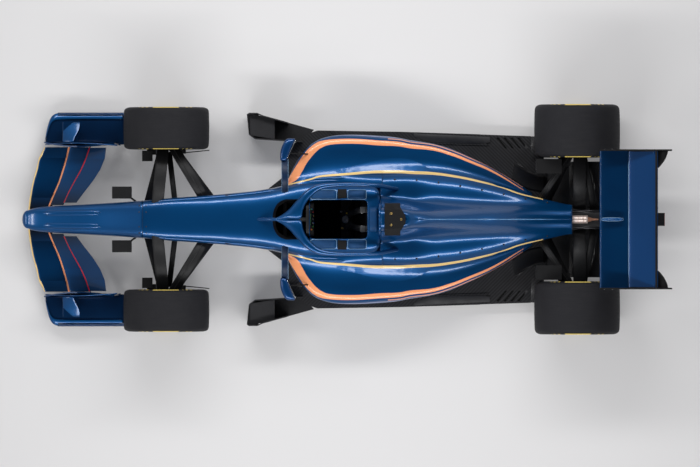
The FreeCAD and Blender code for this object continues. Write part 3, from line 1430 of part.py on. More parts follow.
def rear_endplate():
    """Upright, then curved in under the wing's tip."""
    bend = rear_half * 0.33
    turn_z = axle_z + bend * 1.0
    drop = turn_z - bend
    long = tail_x - rear_front
    share = math.sqrt(half)

    def edge(y, radius):
        centre = Vector(rear_front, rear_half - bend, turn_z)
        return (Vector(rear_front, centre.y + radius, turn_z),
                Vector(rear_front, centre.y + radius * share, turn_z - radius * share),
                Vector(rear_front, centre.y, turn_z - radius))

    out_a, out_b, out_c = edge(0, bend)
    in_a, in_b, in_c = edge(0, bend - rear_plate)
    top_out = Vector(rear_front, rear_half, rear_top + rear_plate)
    top_in = Vector(rear_front, rear_half - rear_plate, rear_top + rear_plate)
    ring = Part.Wire([
        Part.LineSegment(top_out, out_a).toShape(), Part.Arc(out_a, out_b, out_c).toShape(),
        Part.LineSegment(out_c, in_c).toShape(), Part.Arc(in_c, in_b, in_a).toShape(),
        Part.LineSegment(in_a, top_in).toShape(), Part.LineSegment(top_in, top_out).toShape()])
    sheet = Part.Face(ring).extrude(Vector(long, 0, 0))
    tyre_back = rear_axle_x + size("tyre_radius") + size("running_gap") * 4
    side = [Vector(rear_front, 0, rear_top + rear_plate * 2), Vector(tail_x, 0, rear_top + rear_plate * 2),
            Vector(tail_x, 0, turn_z + bend * 0.1), Vector(tail_x - long * 0.20, 0, drop - rear_plate),
            Vector(tyre_back + long * 0.02, 0, drop - rear_plate), Vector(tyre_back, 0, turn_z + bend * half),
            Vector(rear_front, 0, axle_z * 2 + size("running_gap") * 4)]
    plate = largest(sheet.common(slab(side, ACROSS * rear_half * 2)))
    return largest(plate.cut(rear_pins(pin_hole, size("running_gap") + rear_plate * 2)[1]))


plate_piece = feature_of(rear_endplate(), "rear_endplate_right")
mirrored(plate_piece, "rear_endplate_left")


# Exhaust: an open pipe over the gearbox, on a saddle.
def exhaust():
    """A pipe whose mouth is cut on a slant, carried by a saddle."""
    radius = size("exhaust_radius")
    skin = size("exhaust_wall")
    start = cover_end - radius * 1.2
    long = size("exhaust_length")
    z = gear_top + radius * 1.2
    pipe = Part.makeCylinder(radius, long, Vector(start, 0, z), Vector(1, 0, 0))
    bore = Part.makeCylinder(radius - skin, long, Vector(start + skin * 4, 0, z), Vector(1, 0, 0))
    slant = slab([Vector(start + long * 0.62, -radius * 2, z + radius),
                  Vector(start + long, -radius * 2, z - radius * 0.7),
                  Vector(start + long * 1.3, -radius * 2, z + radius)], ACROSS * radius * 4)
    saddle = box_between((start + long * 0.20, -skin * 2, axle_z),
                         (start + long * 0.35, skin * 2, z - radius + skin))
    return largest(pipe.cut(bore).cut(slant).fuse(saddle).cut(gearbox))


feature_of(exhaust(), "exhaust")


# Mirrors on their stays, and the pods beside the nose.
# The mirror's rings: shares of its width, then of its depth for the shift and chord, and of its height.
MIRROR_SHARES = [
    (0.00, 0.06, 0.80, 0.70), (0.12, 0.00, 1.00, 0.98), (0.40, 0.16, 1.05, 1.00), (0.70, 0.55, 0.85, 0.92),
    (0.92, 1.15, 0.48, 0.66), (1.00, 1.50, 0.22, 0.35),
]
MIRROR_RING_SHARES = [(0, 0), (0.20, 0.72), (0.60, 1.0), (1.0, 0.94), (1.0, -0.94), (0.60, -1.0),
                      (0.20, -0.72)]


def oval_ring(x, centre, wide, tall):
    """A soft-cornered ring round a centre line along X."""
    shares = [(1, 0), (0.93, 0.72), (0.55, 1), (-0.55, 1), (-0.93, 0.72), (-1, 0), (-0.93, -0.72),
              (-0.55, -1),
              (0.55, -1), (0.93, -0.72)]
    return closed_spline([Vector(x, centre.y + wide * half * y, centre.z + tall * half * z) for y,
                          z in shares])


def soft_block(start_x, long, centre, wide, tall, rows):
    """A housing lofted through rings; each row is its share along, of width and of height."""
    return loft([oval_ring(start_x + long * along, centre, wide * w, tall * h) for along, w, h in rows])


def mirror():
    """A swept housing on a blade from the chassis, braced to the pod, its glass set back from the rear edge."""
    wide = size("mirror_width")
    tall = size("mirror_height")
    deep = size("mirror_depth")
    front = cockpit_x - deep * 2.1
    inner_y = pod_wide * 0.70
    low_z = pod_high + wall * 5.6 + tall * half

    def ring(along, shift, chord, height):
        y = inner_y + wide * along
        return closed_spline([Vector(front + shift * deep + deep * chord * x, y,
                                     low_z + tall * half * height * z)
                              for x, z in MIRROR_RING_SHARES])

    shell = loft([ring(*row) for row in MIRROR_SHARES])
    recess = loft([ring(along, shift + chord * 0.80, chord * 0.5, height * 0.82)
                   for along, shift, chord, height in MIRROR_SHARES[1:4]])
    hold = Vector(front + deep * 0.55, inner_y + wide * 0.10, low_z)
    stay = strut(Vector(hold.x, chassis_wide * half, pod_high * 0.94), hold, size("rod_chord") * 1.3,
                 size("rod_depth") * half)
    brace_start = Vector(front + deep * 2.3, inner_y + wide * 0.32, pod_high * 0.86)
    leg = rod(brace_start, Vector(front + deep * 0.7, inner_y + wide * 0.30, low_z), size("rod_depth") * 0.3)
    legs = [largest(stay.cut(tub_room).cut(pod_solid)), largest(leg.cut(pod_solid))]
    return shell.cut(recess).fuse(legs)


mirror_solid = mirror()
feature_of(Part.makeCompound([mirror_solid, mirror_solid.mirror(Vector(0, 0, 0), ACROSS)]), "mirrors")


def camera_pod():
    long = size("camera_pod_length")
    wide = size("camera_pod_width")
    tall = size("camera_pod_depth")
    start = bulkhead_x - long * 1.55
    inner = nose_wide + size("camera_pod_width") * 0.06
    low = nose_high * 0.74
    pod_block = soft_block(start, long, Vector(start, inner + wide * half, low + tall * half), wide, tall,
                           [(0, 0.80, 0.62), (0.25, 1, 1), (0.8, 1, 1), (1, 0.86, 0.7)])
    arm = strut(Vector(start + long * 0.84, nose_wide * half, low + tall * half),
                Vector(start + long * 0.84, inner + wide * 0.3, low + tall * half), size("rod_chord"),
    size("rod_depth") * half)
    return largest(pod_block.fuse(arm).cut(nose_outer))


camera_solid = camera_pod()
feature_of(Part.makeCompound([camera_solid, camera_solid.mirror(Vector(0, 0, 0), ACROSS)]), "nose_pods")


# Steering wheel on its column, and the seat.
def steering_wheel():
    wide = size("wheel_grip_width")
    tall = size("wheel_grip_height")
    deep = size("wheel_grip_depth")
    block = Part.makeBox(deep, wide, tall, Vector(-deep * half, -wide * half, -tall * half))
    upright_edges = [edge for edge in block.Edges if edge.BoundBox.XLength > deep * half]
    block = block.makeFillet(tall * 0.30, upright_edges)
    for side_sign in (-1, 1):
        hole = Part.makeBox(deep * 2, wide * 0.13, tall * 0.52,
                            Vector(-deep, side_sign * wide * 0.345 - wide * 0.065, -tall * 0.26))
        hole = hole.makeFillet(wide * 0.05, [edge for edge in hole.Edges if edge.BoundBox.XLength > deep])
        block = block.cut(hole)
    column = Part.makeCylinder(size("column_radius"), size("wheel_grip_width"),
                               Vector(-size("wheel_grip_width"), 0, 0), Vector(1, 0, 0))
    shape = block.fuse(column)
    shape.rotate(Vector(0, 0, 0), Vector(0, 1, 0), -tilt)
    shape.translate(Vector(wheel_x, 0, wheel_z))
    return shape


feature_of(steering_wheel(), "steering_wheel")


def seat():
    skin = size("seat_wall")
    half_seat = size("seat_width") * half
    tall = size("seat_height")
    low = seat_floor + gap
    back = cockpit_end + wall * 1.6
    front = back - tall * 0.62
    pan = [Vector(front, -half_seat, low), Vector(front + tall * 0.25, -half_seat, low),
           Vector(back, -half_seat, low + tall),
           Vector(back - skin * 1.2, -half_seat, low + tall),
           Vector(front + tall * 0.22, -half_seat, low + skin * 1.5),
           Vector(front, -half_seat, low + skin)]
    shell = slab(pan, ACROSS * half_seat * 2)
    side = [Vector(front, 0, low), Vector(front + tall * 0.25, 0, low), Vector(back, 0, low + tall),
            Vector(back - tall * 0.20, 0, low + tall * 0.96),
            Vector(front + tall * 0.16, 0, low + tall * 0.42), Vector(front, 0, low + tall * 0.28)]
    bolsters = [slab([p + Vector(0, y, 0) for p in side], ACROSS * skin) for y in (-half_seat - skin,
                                                                                   half_seat)]
    return shell.fuse(bolsters).removeSplitter()


feature_of(seat(), "seat")

doc.recompute()
for thing in made:
    if "Invalid" in thing.State or "Error" in thing.State or thing.Shape.isNull() or not thing.Shape.isValid():
        raise RuntimeError("%s failed: %s" % (thing.Label, thing.State))
    print(thing.Label, len(thing.Shape.Solids))
os.makedirs("parts", exist_ok=True)
for thing in made:
    thing.Shape.exportStep("parts/%s.step" % thing.Label)
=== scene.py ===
import bmesh
import bpy
import math
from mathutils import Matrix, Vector
from mathutils.bvhtree import BVHTree

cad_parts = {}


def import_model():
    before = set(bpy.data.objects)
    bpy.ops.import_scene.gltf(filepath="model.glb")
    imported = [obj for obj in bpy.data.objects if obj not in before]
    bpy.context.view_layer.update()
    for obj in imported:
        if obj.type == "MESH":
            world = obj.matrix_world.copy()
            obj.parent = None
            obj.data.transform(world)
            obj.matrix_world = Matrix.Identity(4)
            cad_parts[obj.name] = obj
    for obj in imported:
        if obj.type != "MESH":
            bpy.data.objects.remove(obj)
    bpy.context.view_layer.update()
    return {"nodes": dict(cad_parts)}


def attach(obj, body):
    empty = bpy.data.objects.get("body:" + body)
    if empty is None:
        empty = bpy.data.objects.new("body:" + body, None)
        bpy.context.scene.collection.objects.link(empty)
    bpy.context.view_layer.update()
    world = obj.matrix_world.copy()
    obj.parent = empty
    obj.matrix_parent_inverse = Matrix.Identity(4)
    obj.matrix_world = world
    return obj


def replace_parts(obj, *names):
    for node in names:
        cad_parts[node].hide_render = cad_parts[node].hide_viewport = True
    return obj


# An open wheel racing car, dressed for a look from straight above and from all sides.
# Metres; X runs from the nose to the tail, Y across the car, Z up.
# Rows of places are for the car's right side.
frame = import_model()
NODES = frame["nodes"]
SIDES = (("right", 1), ("left", -1))
X_AXIS, Y_AXIS, Z_AXIS = Vector((1, 0, 0)), Vector((0, 1, 0)), Vector((0, 0, 1))

AXLE_Z = 0.355
TYRE_R = 0.355
RIM_R = 0.229
# Each end's axle along X, its wheel's middle along Y, the tyre's width and the reach of the wheel's face.
WHEELS = {"front": (-1.491, 0.754, 0.350, 0.120), "rear": (1.909, 0.732, 0.440, 0.152)}
EXHAUST_X = 1.827
EXHAUST_Z = 0.4516
EXHAUST_R = 0.0335

BLUE = (0.0008, 0.052, 0.168)
NAVY = (0.001, 0.018, 0.070)
YELLOW = (0.830, 0.590, 0.230)
ORANGE = (0.900, 0.350, 0.160)
# Salmon and lilac: the two painted highlight lines along the pods' outer edge.
SALMON_HIGHLIGHT = (0.80, 0.36, 0.26)
LILAC_HIGHLIGHT = (0.42, 0.44, 0.66)
RED = (0.420, 0.006, 0.020)
SHADOW = (0.004, 0.004, 0.005)
CARBON = (0.016, 0.016, 0.018)
PAINT_METAL = 0.58
PAINT_ROUGH = 0.36
PAINT_COAT_ROUGH = 0.14
PAINT_SPECULAR = 0.05


# Numbers and points.
def circle(count):
    """Cosine and sine at even steps round a turn."""
    return [(math.cos(math.tau * k / count), math.sin(math.tau * k / count)) for k in range(count)]


def signed_power(value, exponent):
    return math.copysign(abs(value) ** exponent, value)


def held(value):
    return min(1.0, max(0.0, value))


def ease(value):
    """A smooth rise from 0 to 1, held at both ends."""
    t = held(value)
    return t * t * (3 - 2 * t)


def lerp(a, b, t):
    return a + (b - a) * t


def shaded(color, share):
    return tuple(c * share for c in color)


def mirrored(points, sign):
    return [(x, sign * y, z) for x, y, z in points]


def rectangle(x0, x1, y0, y1, z=0.0):
    return [(x0, y0, z), (x1, y0, z), (x1, y1, z), (x0, y1, z)]


def round_ring(centre, first, second, radius, count):
    """Points round a centre, in the plane of two unit vectors."""
    middle = Vector(centre)
    return [tuple(middle + (first * cosine + second * sine) * radius) for cosine, sine in circle(count)]


def smooth_line(points, per=6):
    """Catmull-Rom points between the given ones."""
    result = []
    last = len(points) - 1
    for i in range(last):
        around = points[max(i - 1, 0)], points[i], points[i + 1], points[min(i + 2, last)]
        for step in range(per):
            t = step / per
            result.append(tuple(0.5 * (2 * q + (r - p) * t + (2 * p - 5 * q + 4 * r - s) * t * t
                                       + (3 * q - p - 3 * r + s) * t ** 3) for p, q, r, s in zip(*around)))
    result.append(tuple(points[-1]))
    return result


def softened(rows, passes_along, passes_across):
    """Binomial smoothing of a grid of numbers, ends held."""
    for count, across in ((passes_along, False), (passes_across, True)):
        grid = list(rows) if across else list(zip(*rows))
        for _ in range(count):
            grid = [[row[0]] + [(a + 2 * b + c) / 4 for a, b, c in zip(row, row[1:], row[2:])] + [row[-1]]
                    for row in grid]
        rows = grid if across else list(zip(*grid))
    return [list(row) for row in rows]


def rounded(points, radius, steps=6):
    """A closed outline with its corners rounded."""
    result = []
    spots = [Vector(p) for p in points]
    for i, at in enumerate(spots):
        before, after = spots[i - 1] - at, spots[(i + 1) % len(spots)] - at
        reach = min(radius, before.length * 0.48, after.length * 0.48)
        start, end = at + before.normalized() * reach, at + after.normalized() * reach
        for k in range(steps + 1):
            t = k / steps
            result.append(tuple(start * (1 - t) ** 2 + at * 2 * t * (1 - t) + end * t * t))
    return result


# Materials.
class Graph:
    """A material's nodes, made by short calls."""

    def __init__(self, name):
        self.material = bpy.data.materials.new(name)
        self.material.use_nodes = True
        self.nodes = self.material.node_tree.nodes
        self.links = self.material.node_tree.links
        self.shader = self.nodes["Principled BSDF"]
        self.place = self.add("ShaderNodeTexCoord").outputs["Object"]
        self.x, self.y, self.z = self.add("ShaderNodeSeparateXYZ", Vector=self.place).outputs
        self.side = self.size_of(self.y)

    def add(self, kind, **inputs):
        node = self.nodes.new(kind)
        for name, value in inputs.items():
            self.feed(node.inputs[name], value)
        return node

    def feed(self, socket, value):
        if isinstance(value, bpy.types.NodeSocket):
            self.links.new(value, socket)
        elif isinstance(value, (tuple, list)) and len(value) == 3 and len(socket.default_value) == 4:
            socket.default_value = (*value, 1)
        else:
            socket.default_value = value

    def math(self, operation, *values):
        node = self.nodes.new("ShaderNodeMath")
        node.operation = operation
        for socket, value in zip(node.inputs, values):
            self.feed(socket, value)
        return node.outputs[0]

    def plus(self, first, second):
        return self.math("ADD", first, second)

    def minus(self, first, second):
        return self.math("SUBTRACT", first, second)

    def times(self, first, second):
        return self.math("MULTIPLY", first, second)

    def most(self, first, second):
        return self.math("MAXIMUM", first, second)

    def size_of(self, value):
        return self.math("ABSOLUTE", value)

    def length(self, first, second):
        return self.math("SQRT", self.plus(self.times(first, first), self.times(second, second)))

    def wave(self, value, rate):
        return self.math("SINE", self.times(value, rate))

    def span(self, value, low, high, to_low=0.0, to_high=1.0):
        """value from low..high onto to_low..to_high, held at the ends."""
        node = self.add("ShaderNodeMapRange", Value=value)
        for name, number in (("From Min", low), ("From Max", high), ("To Min", to_low), ("To Max", to_high)):
            self.feed(node.inputs[name], number)
        return node.outputs[0]

    def line(self, value, points):
        """A smooth line through (value, result) points."""
        low, high = points[0][0], points[-1][0]
        least, most = min(p[1] for p in points), max(p[1] for p in points)
        node = self.nodes.new("ShaderNodeFloatCurve")
        curve = node.mapping.curves[0]
        scaled = [((x - low) / (high - low), (y - least) / max(most - least, 1e-6)) for x, y in points]
        curve.points[0].location = scaled[0]
        curve.points[1].location = scaled[-1]
        for spot in scaled[1:-1]:
            curve.points.new(*spot)
        for point in curve.points:
            point.handle_type = "AUTO_CLAMPED"
        node.mapping.update()
        self.feed(node.inputs["Value"], self.span(value, low, high))
        return self.span(node.outputs[0], 0, 1, least, most)

    def step(self, value, edge, soft=0.0015):
        """0 below the edge and 1 above it."""
        return self.span(self.minus(value, edge), -soft, soft)

    def band(self, value, low, high, soft=0.0015):
        return self.times(self.step(value, low, soft), self.minus(1.0, self.step(value, high, soft)))

    def about(self, value, middle, half, soft=0.0015):
        return self.band(value, self.minus(middle, half), self.plus(middle, half), soft)

    def both(self, *masks):
        result = masks[0]
        for mask in masks[1:]:
            result = self.times(result, mask)
        return result

    def mix(self, factor, first, second):
        node = self.nodes.new("ShaderNodeMix")
        node.data_type = "RGBA"
        for index, value in ((0, factor), (6, first), (7, second)):
            self.feed(node.inputs[index], value)
        return node.outputs[2]

    def noise(self, scale, detail=3.0, place=None):
        node = self.add("ShaderNodeTexNoise", Scale=scale, Detail=detail, Vector=place or self.place)
        return node.outputs[0]

    def bump(self, height, strength, distance=0.001):
        node = self.add("ShaderNodeBump", Height=height, Strength=strength, Distance=distance)
        self.links.new(node.outputs[0], self.shader.inputs["Normal"])

    def finish(self, color, roughness=0.5, metallic=0.0, coat=0.0, coat_roughness=0.03, specular=None):
        values = {"Base Color": color, "Roughness": roughness, "Metallic": metallic, "Coat Weight": coat,
                  "Coat Roughness": coat_roughness, "Specular IOR Level": specular}
        for name, value in values.items():
            if value is not None:
                self.feed(self.shader.inputs[name], value)
        return self.material


# Stripe edges over X, as seen from above; below the LOW lines the flanks are plain.
STRIPES_START, ORANGE_END, YELLOW_END = -0.484, 1.468, 1.625
ORANGE_OUTER = [
    (-0.476, 0.344), (-0.413, 0.448), (-0.366, 0.519), (-0.308, 0.588), (-0.256, 0.6285), (-0.219, 0.646),
    (-0.136, 0.660), (0.029, 0.6665), (0.277, 0.652), (0.442, 0.641), (0.525, 0.623), (0.695, 0.603),
    (0.856, 0.557), (1.025, 0.489), (1.185, 0.419), (ORANGE_END, 0.245)]
ORANGE_INNER = [
    (-0.482, 0.286), (-0.413, 0.327), (-0.366, 0.396), (-0.331, 0.460), (-0.296, 0.507), (-0.250, 0.559),
    (-0.203, 0.594), (-0.136, 0.617), (0.029, 0.626), (0.277, 0.611), (0.442, 0.603), (0.525, 0.588),
    (0.695, 0.573), (0.856, 0.531), (1.025, 0.467), (1.185, 0.400), (ORANGE_END, 0.240)]
YELLOW_LINE = [
    (STRIPES_START, 0.286), (-0.389, 0.309), (-0.296, 0.332), (-0.215, 0.356), (-0.136, 0.364),
    (-0.054, 0.370), (0.029, 0.376), (0.194, 0.390), (0.277, 0.393), (0.442, 0.393), (0.525, 0.388),
    (0.695, 0.381), (0.856, 0.362), (1.104, 0.313), (1.270, 0.270), (1.435, 0.211), (YELLOW_END, 0.166)]
YELLOW_HALF = [
    (STRIPES_START, 0.005), (-0.215, 0.007), (0.194, 0.011), (0.442, 0.012), (0.856, 0.010),
    (1.270, 0.007), (YELLOW_END, 0.004)]
ORANGE_LOW = [
    (STRIPES_START, 0.455), (-0.3, 0.462), (0.1, 0.430), (0.3, 0.412), (0.6, 0.372), (0.9, 0.340),
    (1.05, 0.312), (1.2, 0.283), (1.35, 0.252), (ORANGE_END, 0.226)]
YELLOW_LOW = [(STRIPES_START, 0.470), (0.3, 0.450), (0.9, 0.405), (1.2, 0.375), (YELLOW_END, 0.350)]
# The cockpit: its front edge as X over Y, its rear edge, half its width and its rim's height.
COCKPIT_FRONT = [(0.0, -0.612), (0.06, -0.604), (0.11, -0.584), (0.145, -0.552), (0.167, -0.5)]
COCKPIT_REAR, COCKPIT_HALF, COCKPIT_TOP = 0.2105, 0.167, 0.680
# The tub's hollow below it: front end, half width, floor and roof.
HOLLOW_FRONT, HOLLOW_HALF, HOLLOW_LOW, HOLLOW_HIGH = -1.00, 0.2052, 0.13, 0.5998


def stripes(g, color):
    """The orange and yellow bands and two fine lines outside them, salmon and lilac painted highlights along
    the pods' outer edge; returns the colour and the bands' mask.
    """
    edge = g.line(g.x, ORANGE_OUTER)
    high = g.step(g.z, g.line(g.x, ORANGE_LOW))
    orange = g.both(g.band(g.x, STRIPES_START, ORANGE_END),
                    g.band(g.side, g.line(g.x, ORANGE_INNER), edge), high)
    yellow = g.both(g.band(g.x, STRIPES_START, YELLOW_END),
                    g.about(g.side, g.line(g.x, YELLOW_LINE), g.line(g.x, YELLOW_HALF)),
                    g.step(g.z, g.line(g.x, YELLOW_LOW)))
    beyond = g.minus(g.side, edge)
    # Painted highlights: a salmon line and a lilac line just outside the orange band, for the reflections
    # along the pods' outer edge.
    salmon_highlight = g.both(g.band(g.x, 0.343, 1.46), g.band(beyond, 0.014, 0.022, 0.001), high)
    rim = g.both(g.band(g.x, -0.40, 1.10), g.band(beyond, 0.0285, 0.0335, 0.001), high)
    color = g.mix(salmon_highlight, color, SALMON_HIGHLIGHT)
    color = g.mix(g.times(rim, 0.7), color, LILAC_HIGHLIGHT)
    color = g.mix(orange, color, ORANGE)
    return g.mix(yellow, color, YELLOW), g.most(orange, yellow)


def cockpit_inside(g):
    """A mask of the tub's dark inner faces."""
    well = g.both(g.step(g.x, g.line(g.side, COCKPIT_FRONT)), g.step(COCKPIT_REAR, g.x),
                  g.step(COCKPIT_HALF, g.side), g.step(COCKPIT_TOP, g.z))
    hollow = g.both(g.band(g.x, HOLLOW_FRONT, COCKPIT_REAR), g.step(HOLLOW_HALF, g.side),
                    g.band(g.z, HOLLOW_LOW, HOLLOW_HIGH))
    return g.most(well, hollow)


def body_paint(name, striped=True, base=BLUE):
    """Metallic blue under clear coat, with the nose's shut line, the flowing stripes and the painted
    highlight lines beside them.
    """
    g = Graph(name)
    color = g.mix(g.span(g.noise(900.0, 1.0), 0.35, 0.65), base, shaded(base, 1.25))
    color = g.mix(g.span(g.noise(1.6, 2.0), 0.40, 0.70, 0.0, 0.20), color, NAVY)
    metal, coat, rough = PAINT_METAL, 0.70, PAINT_ROUGH
    if striped:
        color, bands = stripes(g, color)
        color = g.mix(g.band(g.x, -1.6845, -1.6815, 0.0005), color, (0.001, 0.002, 0.004))
        inside = cockpit_inside(g)
        color = g.mix(inside, color, SHADOW)
        metal = g.times(g.minus(1.0, g.most(bands, inside)), PAINT_METAL)
        coat = g.minus(0.75, g.times(inside, 0.75))
        rough = g.span(inside, 0, 1, PAINT_ROUGH, 0.85)
    g.bump(g.noise(240.0, 1.0), 0.012)
    return g.finish(color, rough, metal, coat, PAINT_COAT_ROUGH, PAINT_SPECULAR)


def wing_paint(name, lines, painted_shade=True):
    """Blue elements whose edges carry a coloured line; lines are (points of X over Y, half width, colour).
    Unless told not to, they also darken towards the nose and towards their outer ends as painted shade.
    """
    g = Graph(name)
    color = g.mix(g.span(g.noise(2.2, 2.0), 0.40, 0.70, 0.10, 0.45), shaded(BLUE, 0.80), NAVY)
    if painted_shade:
        # Painted shade: near black next to the nose and a darker navy towards the outer ends, for the dark
        # reflections of the curved elements.
        color = g.mix(g.span(g.side, 0.10, 0.26, 0.9, 0.0), color, (0.002, 0.003, 0.006))
        color = g.mix(g.span(g.side, 0.45, 0.62, 0.0, 0.55), color, (0.001, 0.008, 0.022))
    metal = 0.60
    for points, half, tint in lines:
        mask = g.about(g.x, g.line(g.side, points), half, 0.001)
        color = g.mix(mask, color, tint)
        metal = g.times(metal, g.minus(1.0, mask))
    g.bump(g.noise(240.0, 1.0), 0.015)
    return g.finish(color, 0.30, metal, 0.7, 0.05, PAINT_SPECULAR)


def carbon(name, tone=1.0, pitch=0.011, gloss=0.35):
    """Woven carbon: slanting tows that catch the light in turn."""
    g = Graph(name)
    weave = g.plus(g.times(g.wave(g.plus(g.x, g.side), math.tau / pitch), 0.8),
                   g.times(g.wave(g.minus(g.x, g.side), math.tau / (pitch * 0.25)), 0.2))
    dark = shaded(CARBON, 0.55 * tone)
    color = g.mix(g.span(weave, -1.0, 1.0), dark, shaded(CARBON, 2.0 * tone))
    color = g.mix(g.span(g.noise(9.0, 3.0), 0.35, 0.75, 0.0, 0.35), color, dark)
    g.bump(weave, 0.12, 0.0006)
    return g.finish(color, g.span(weave, -1, 1, gloss, gloss + 0.18), 0.0, 0.12, 0.15, 0.30)


def satin(name, color, roughness=0.5, metallic=0.0, grain=400.0, strength=0.08, coat=0.0, specular=None):
    """A moulded or cast surface with fine grain and faint wear."""
    g = Graph(name)
    wear = g.noise(14.0, 4.0)
    tone = g.mix(g.span(wear, 0.35, 0.70), color, shaded(color, 0.72))
    g.bump(g.noise(grain, 2.0), strength, 0.0008)
    rough = g.span(wear, 0.3, 0.7, roughness * 0.9, min(1.0, roughness * 1.12))
    return g.finish(tone, rough, metallic, coat, specular=specular)


def rubber(name, axle_x, wheel_y, width):
    """Slick rubber: a worn crown, moulded side walls and yellow bars on them."""
    g = Graph(name)
    dx, dz = g.minus(g.x, axle_x), g.minus(g.z, AXLE_Z)
    radius = g.length(dx, dz)
    turn = g.math("ARCTAN2", dx, dz)
    across = g.minus(g.side, wheel_y)
    crown = g.step(radius, TYRE_R * 0.955, 0.004)
    place = g.add("ShaderNodeCombineXYZ", X=g.times(across, 60.0), Y=g.times(turn, 0.8), Z=0.0)
    rings = g.noise(2.4, 4.0, place.outputs[0])
    worn = g.mix(g.span(rings, 0.35, 0.65), (0.0085, 0.0085, 0.0108), (0.0150, 0.0148, 0.0172))
    worn = g.mix(g.span(g.noise(11.0, 3.0), 0.45, 0.75, 0.0, 0.4), worn, (0.0078, 0.0078, 0.0102))
    color = g.mix(crown, (0.0105, 0.0105, 0.0120), worn)
    wall = g.step(g.size_of(across), width * 0.36, 0.002)
    half_turn = g.size_of(turn)
    top_and_foot = g.most(g.band(half_turn, -1.0, 0.34, 0.004), g.step(half_turn, math.pi - 0.34, 0.004))
    bars = g.both(wall, g.band(radius, TYRE_R * 0.855, TYRE_R * 0.925, 0.0012), top_and_foot)
    marks = g.both(wall, g.band(radius, TYRE_R * 0.865, TYRE_R * 0.905, 0.0012),
                   g.band(g.size_of(g.minus(half_turn, 0.62)), -1, 0.16, 0.004),
                   g.step(g.wave(turn, 46.0), 0.1, 0.08))
    color = g.mix(g.most(bars, marks), color, (0.70, 0.53, 0.13))
    g.bump(g.plus(g.noise(260.0, 2.0), g.times(rings, 0.8)), 0.22, 0.0012)
    return g.finish(color, g.span(rings, 0.3, 0.7, 0.62, 0.80), specular=0.22)


def lamp_lens():
    """A dark housing whose rear face is a red lens with a grid of cells."""
    g = Graph("tail_lamp")
    cells = g.both(g.step(g.wave(g.y, 560.0), -0.6, 0.1), g.step(g.wave(g.z, 560.0), -0.6, 0.1))
    red = g.mix(cells, (0.10, 0.002, 0.002), (0.55, 0.012, 0.010))
    color = g.mix(g.step(g.x, 2.6325), (0.010, 0.010, 0.011), red)
    g.bump(cells, 0.3)
    return g.finish(color, 0.28, 0.0, 0.8)


WING_YELLOW = [
    (0.0, -2.637), (0.074, -2.637), (0.160, -2.628), (0.243, -2.616), (0.326, -2.599), (0.409, -2.574),
    (0.491, -2.557), (0.533, -2.534), (0.600, -2.509)]
LOWER_FLAP_EDGE = [
    (0.1188, -2.4650), (0.215, -2.4254), (0.3112, -2.3845), (0.4073, -2.3526), (0.5035, -2.3248),
    (0.5997, -2.3021)]
UPPER_FLAP_EDGE = [
    (0.138, -2.3476), (0.2292, -2.3059), (0.3204, -2.2569), (0.4116, -2.2059), (0.5028, -2.1657),
    (0.594, -2.1354)]
PAINT = body_paint("body_paint")
PLAIN_PAINT = body_paint("plain_paint", False)
DARK_PAINT = body_paint("dark_blue_paint", False, (0.003, 0.040, 0.140))
ENDPLATE_PAINT = body_paint("endplate_paint", False, (0.0008, 0.020, 0.070))
SURROUND_PAINT = body_paint("surround_paint", False)
# A lighter blue for the cover's spine bead: a painted highlight along the ridge.
SPINE_HIGHLIGHT_PAINT = body_paint("spine_highlight_paint", False, (0.06, 0.17, 0.33))
FRONT_PAINT = wing_paint("front_wing_paint", [(WING_YELLOW, 0.008, YELLOW), (LOWER_FLAP_EDGE, 0.007, ORANGE)])
FLAP_PAINT = wing_paint("front_flap_paint", [(UPPER_FLAP_EDGE, 0.009, RED)])
REAR_PAINT = wing_paint("rear_wing_paint", [], False)
CARBON_WEAVE = carbon("carbon_weave")
CARBON_FINE = carbon("carbon_fine", 0.8, 0.006, 0.42)
FLOOR_WEAVE = carbon("floor_weave", 0.9, 0.030, 0.38)
BLACK = satin("black_satin", (0.0065, 0.0065, 0.0072), 0.60, specular=0.20)
GREY_ALLOY = satin("cast_alloy", (0.30, 0.30, 0.31), 0.45, 1.0)
DARK_ALLOY = satin("dark_alloy", (0.055, 0.055, 0.060), 0.38, 0.9)
EXHAUST = satin("exhaust_alloy", (0.66, 0.55, 0.50), 0.38, 0.45, 120.0, 0.03)
COPPER = satin("exhaust_copper", (0.46, 0.23, 0.15), 0.34, 0.5, 120.0, 0.03)
PLANK = satin("plank", (0.060, 0.048, 0.036), 0.7)
PAD_COVER = satin("pad_cover", (0.002, 0.046, 0.145), 0.60, grain=700.0, strength=0.12, specular=0.25)
STALK_NAVY = satin("stalk_navy", (0.0008, 0.014, 0.050), 0.45, grain=300.0, strength=0.02, specular=0.30)
ARM_BLACK = satin("arm_black", (0.0085, 0.0085, 0.0095), 0.55, grain=600.0, strength=0.10, specular=0.30)
# Pale beads: piping round the pads, and painted edge highlights on the flap, the actuator pod and the mirror
# stalks.
PIPING_AND_EDGE_HIGHLIGHT = satin("pad_piping_and_edge_highlight", (0.20, 0.36, 0.54), 0.5, grain=900.0, strength=0.05)
GRIP = satin("grip", (0.012, 0.012, 0.013), 0.68, grain=900.0, strength=0.25)
BRASS = satin("brass", (0.58, 0.40, 0.14), 0.32, 1.0, 300.0, 0.03)
COVER_BLACK = satin("wheel_cover", (0.014, 0.014, 0.016), 0.42, grain=500.0, strength=0.05, coat=0.4)
GLASS = satin("mirror_glass", (0.75, 0.77, 0.80), 0.05, 1.0, 200.0, 0.002)
LENS = satin("lens_glass", (0.004, 0.005, 0.008), 0.06, grain=200.0, strength=0.002, coat=1.0)
SCREEN = satin("screen_glass", (0.006, 0.010, 0.014), 0.10, grain=300.0, strength=0.005, coat=1.0)
WEBBING = satin("webbing", (0.030, 0.030, 0.033), 0.8, grain=1400.0, strength=0.30)
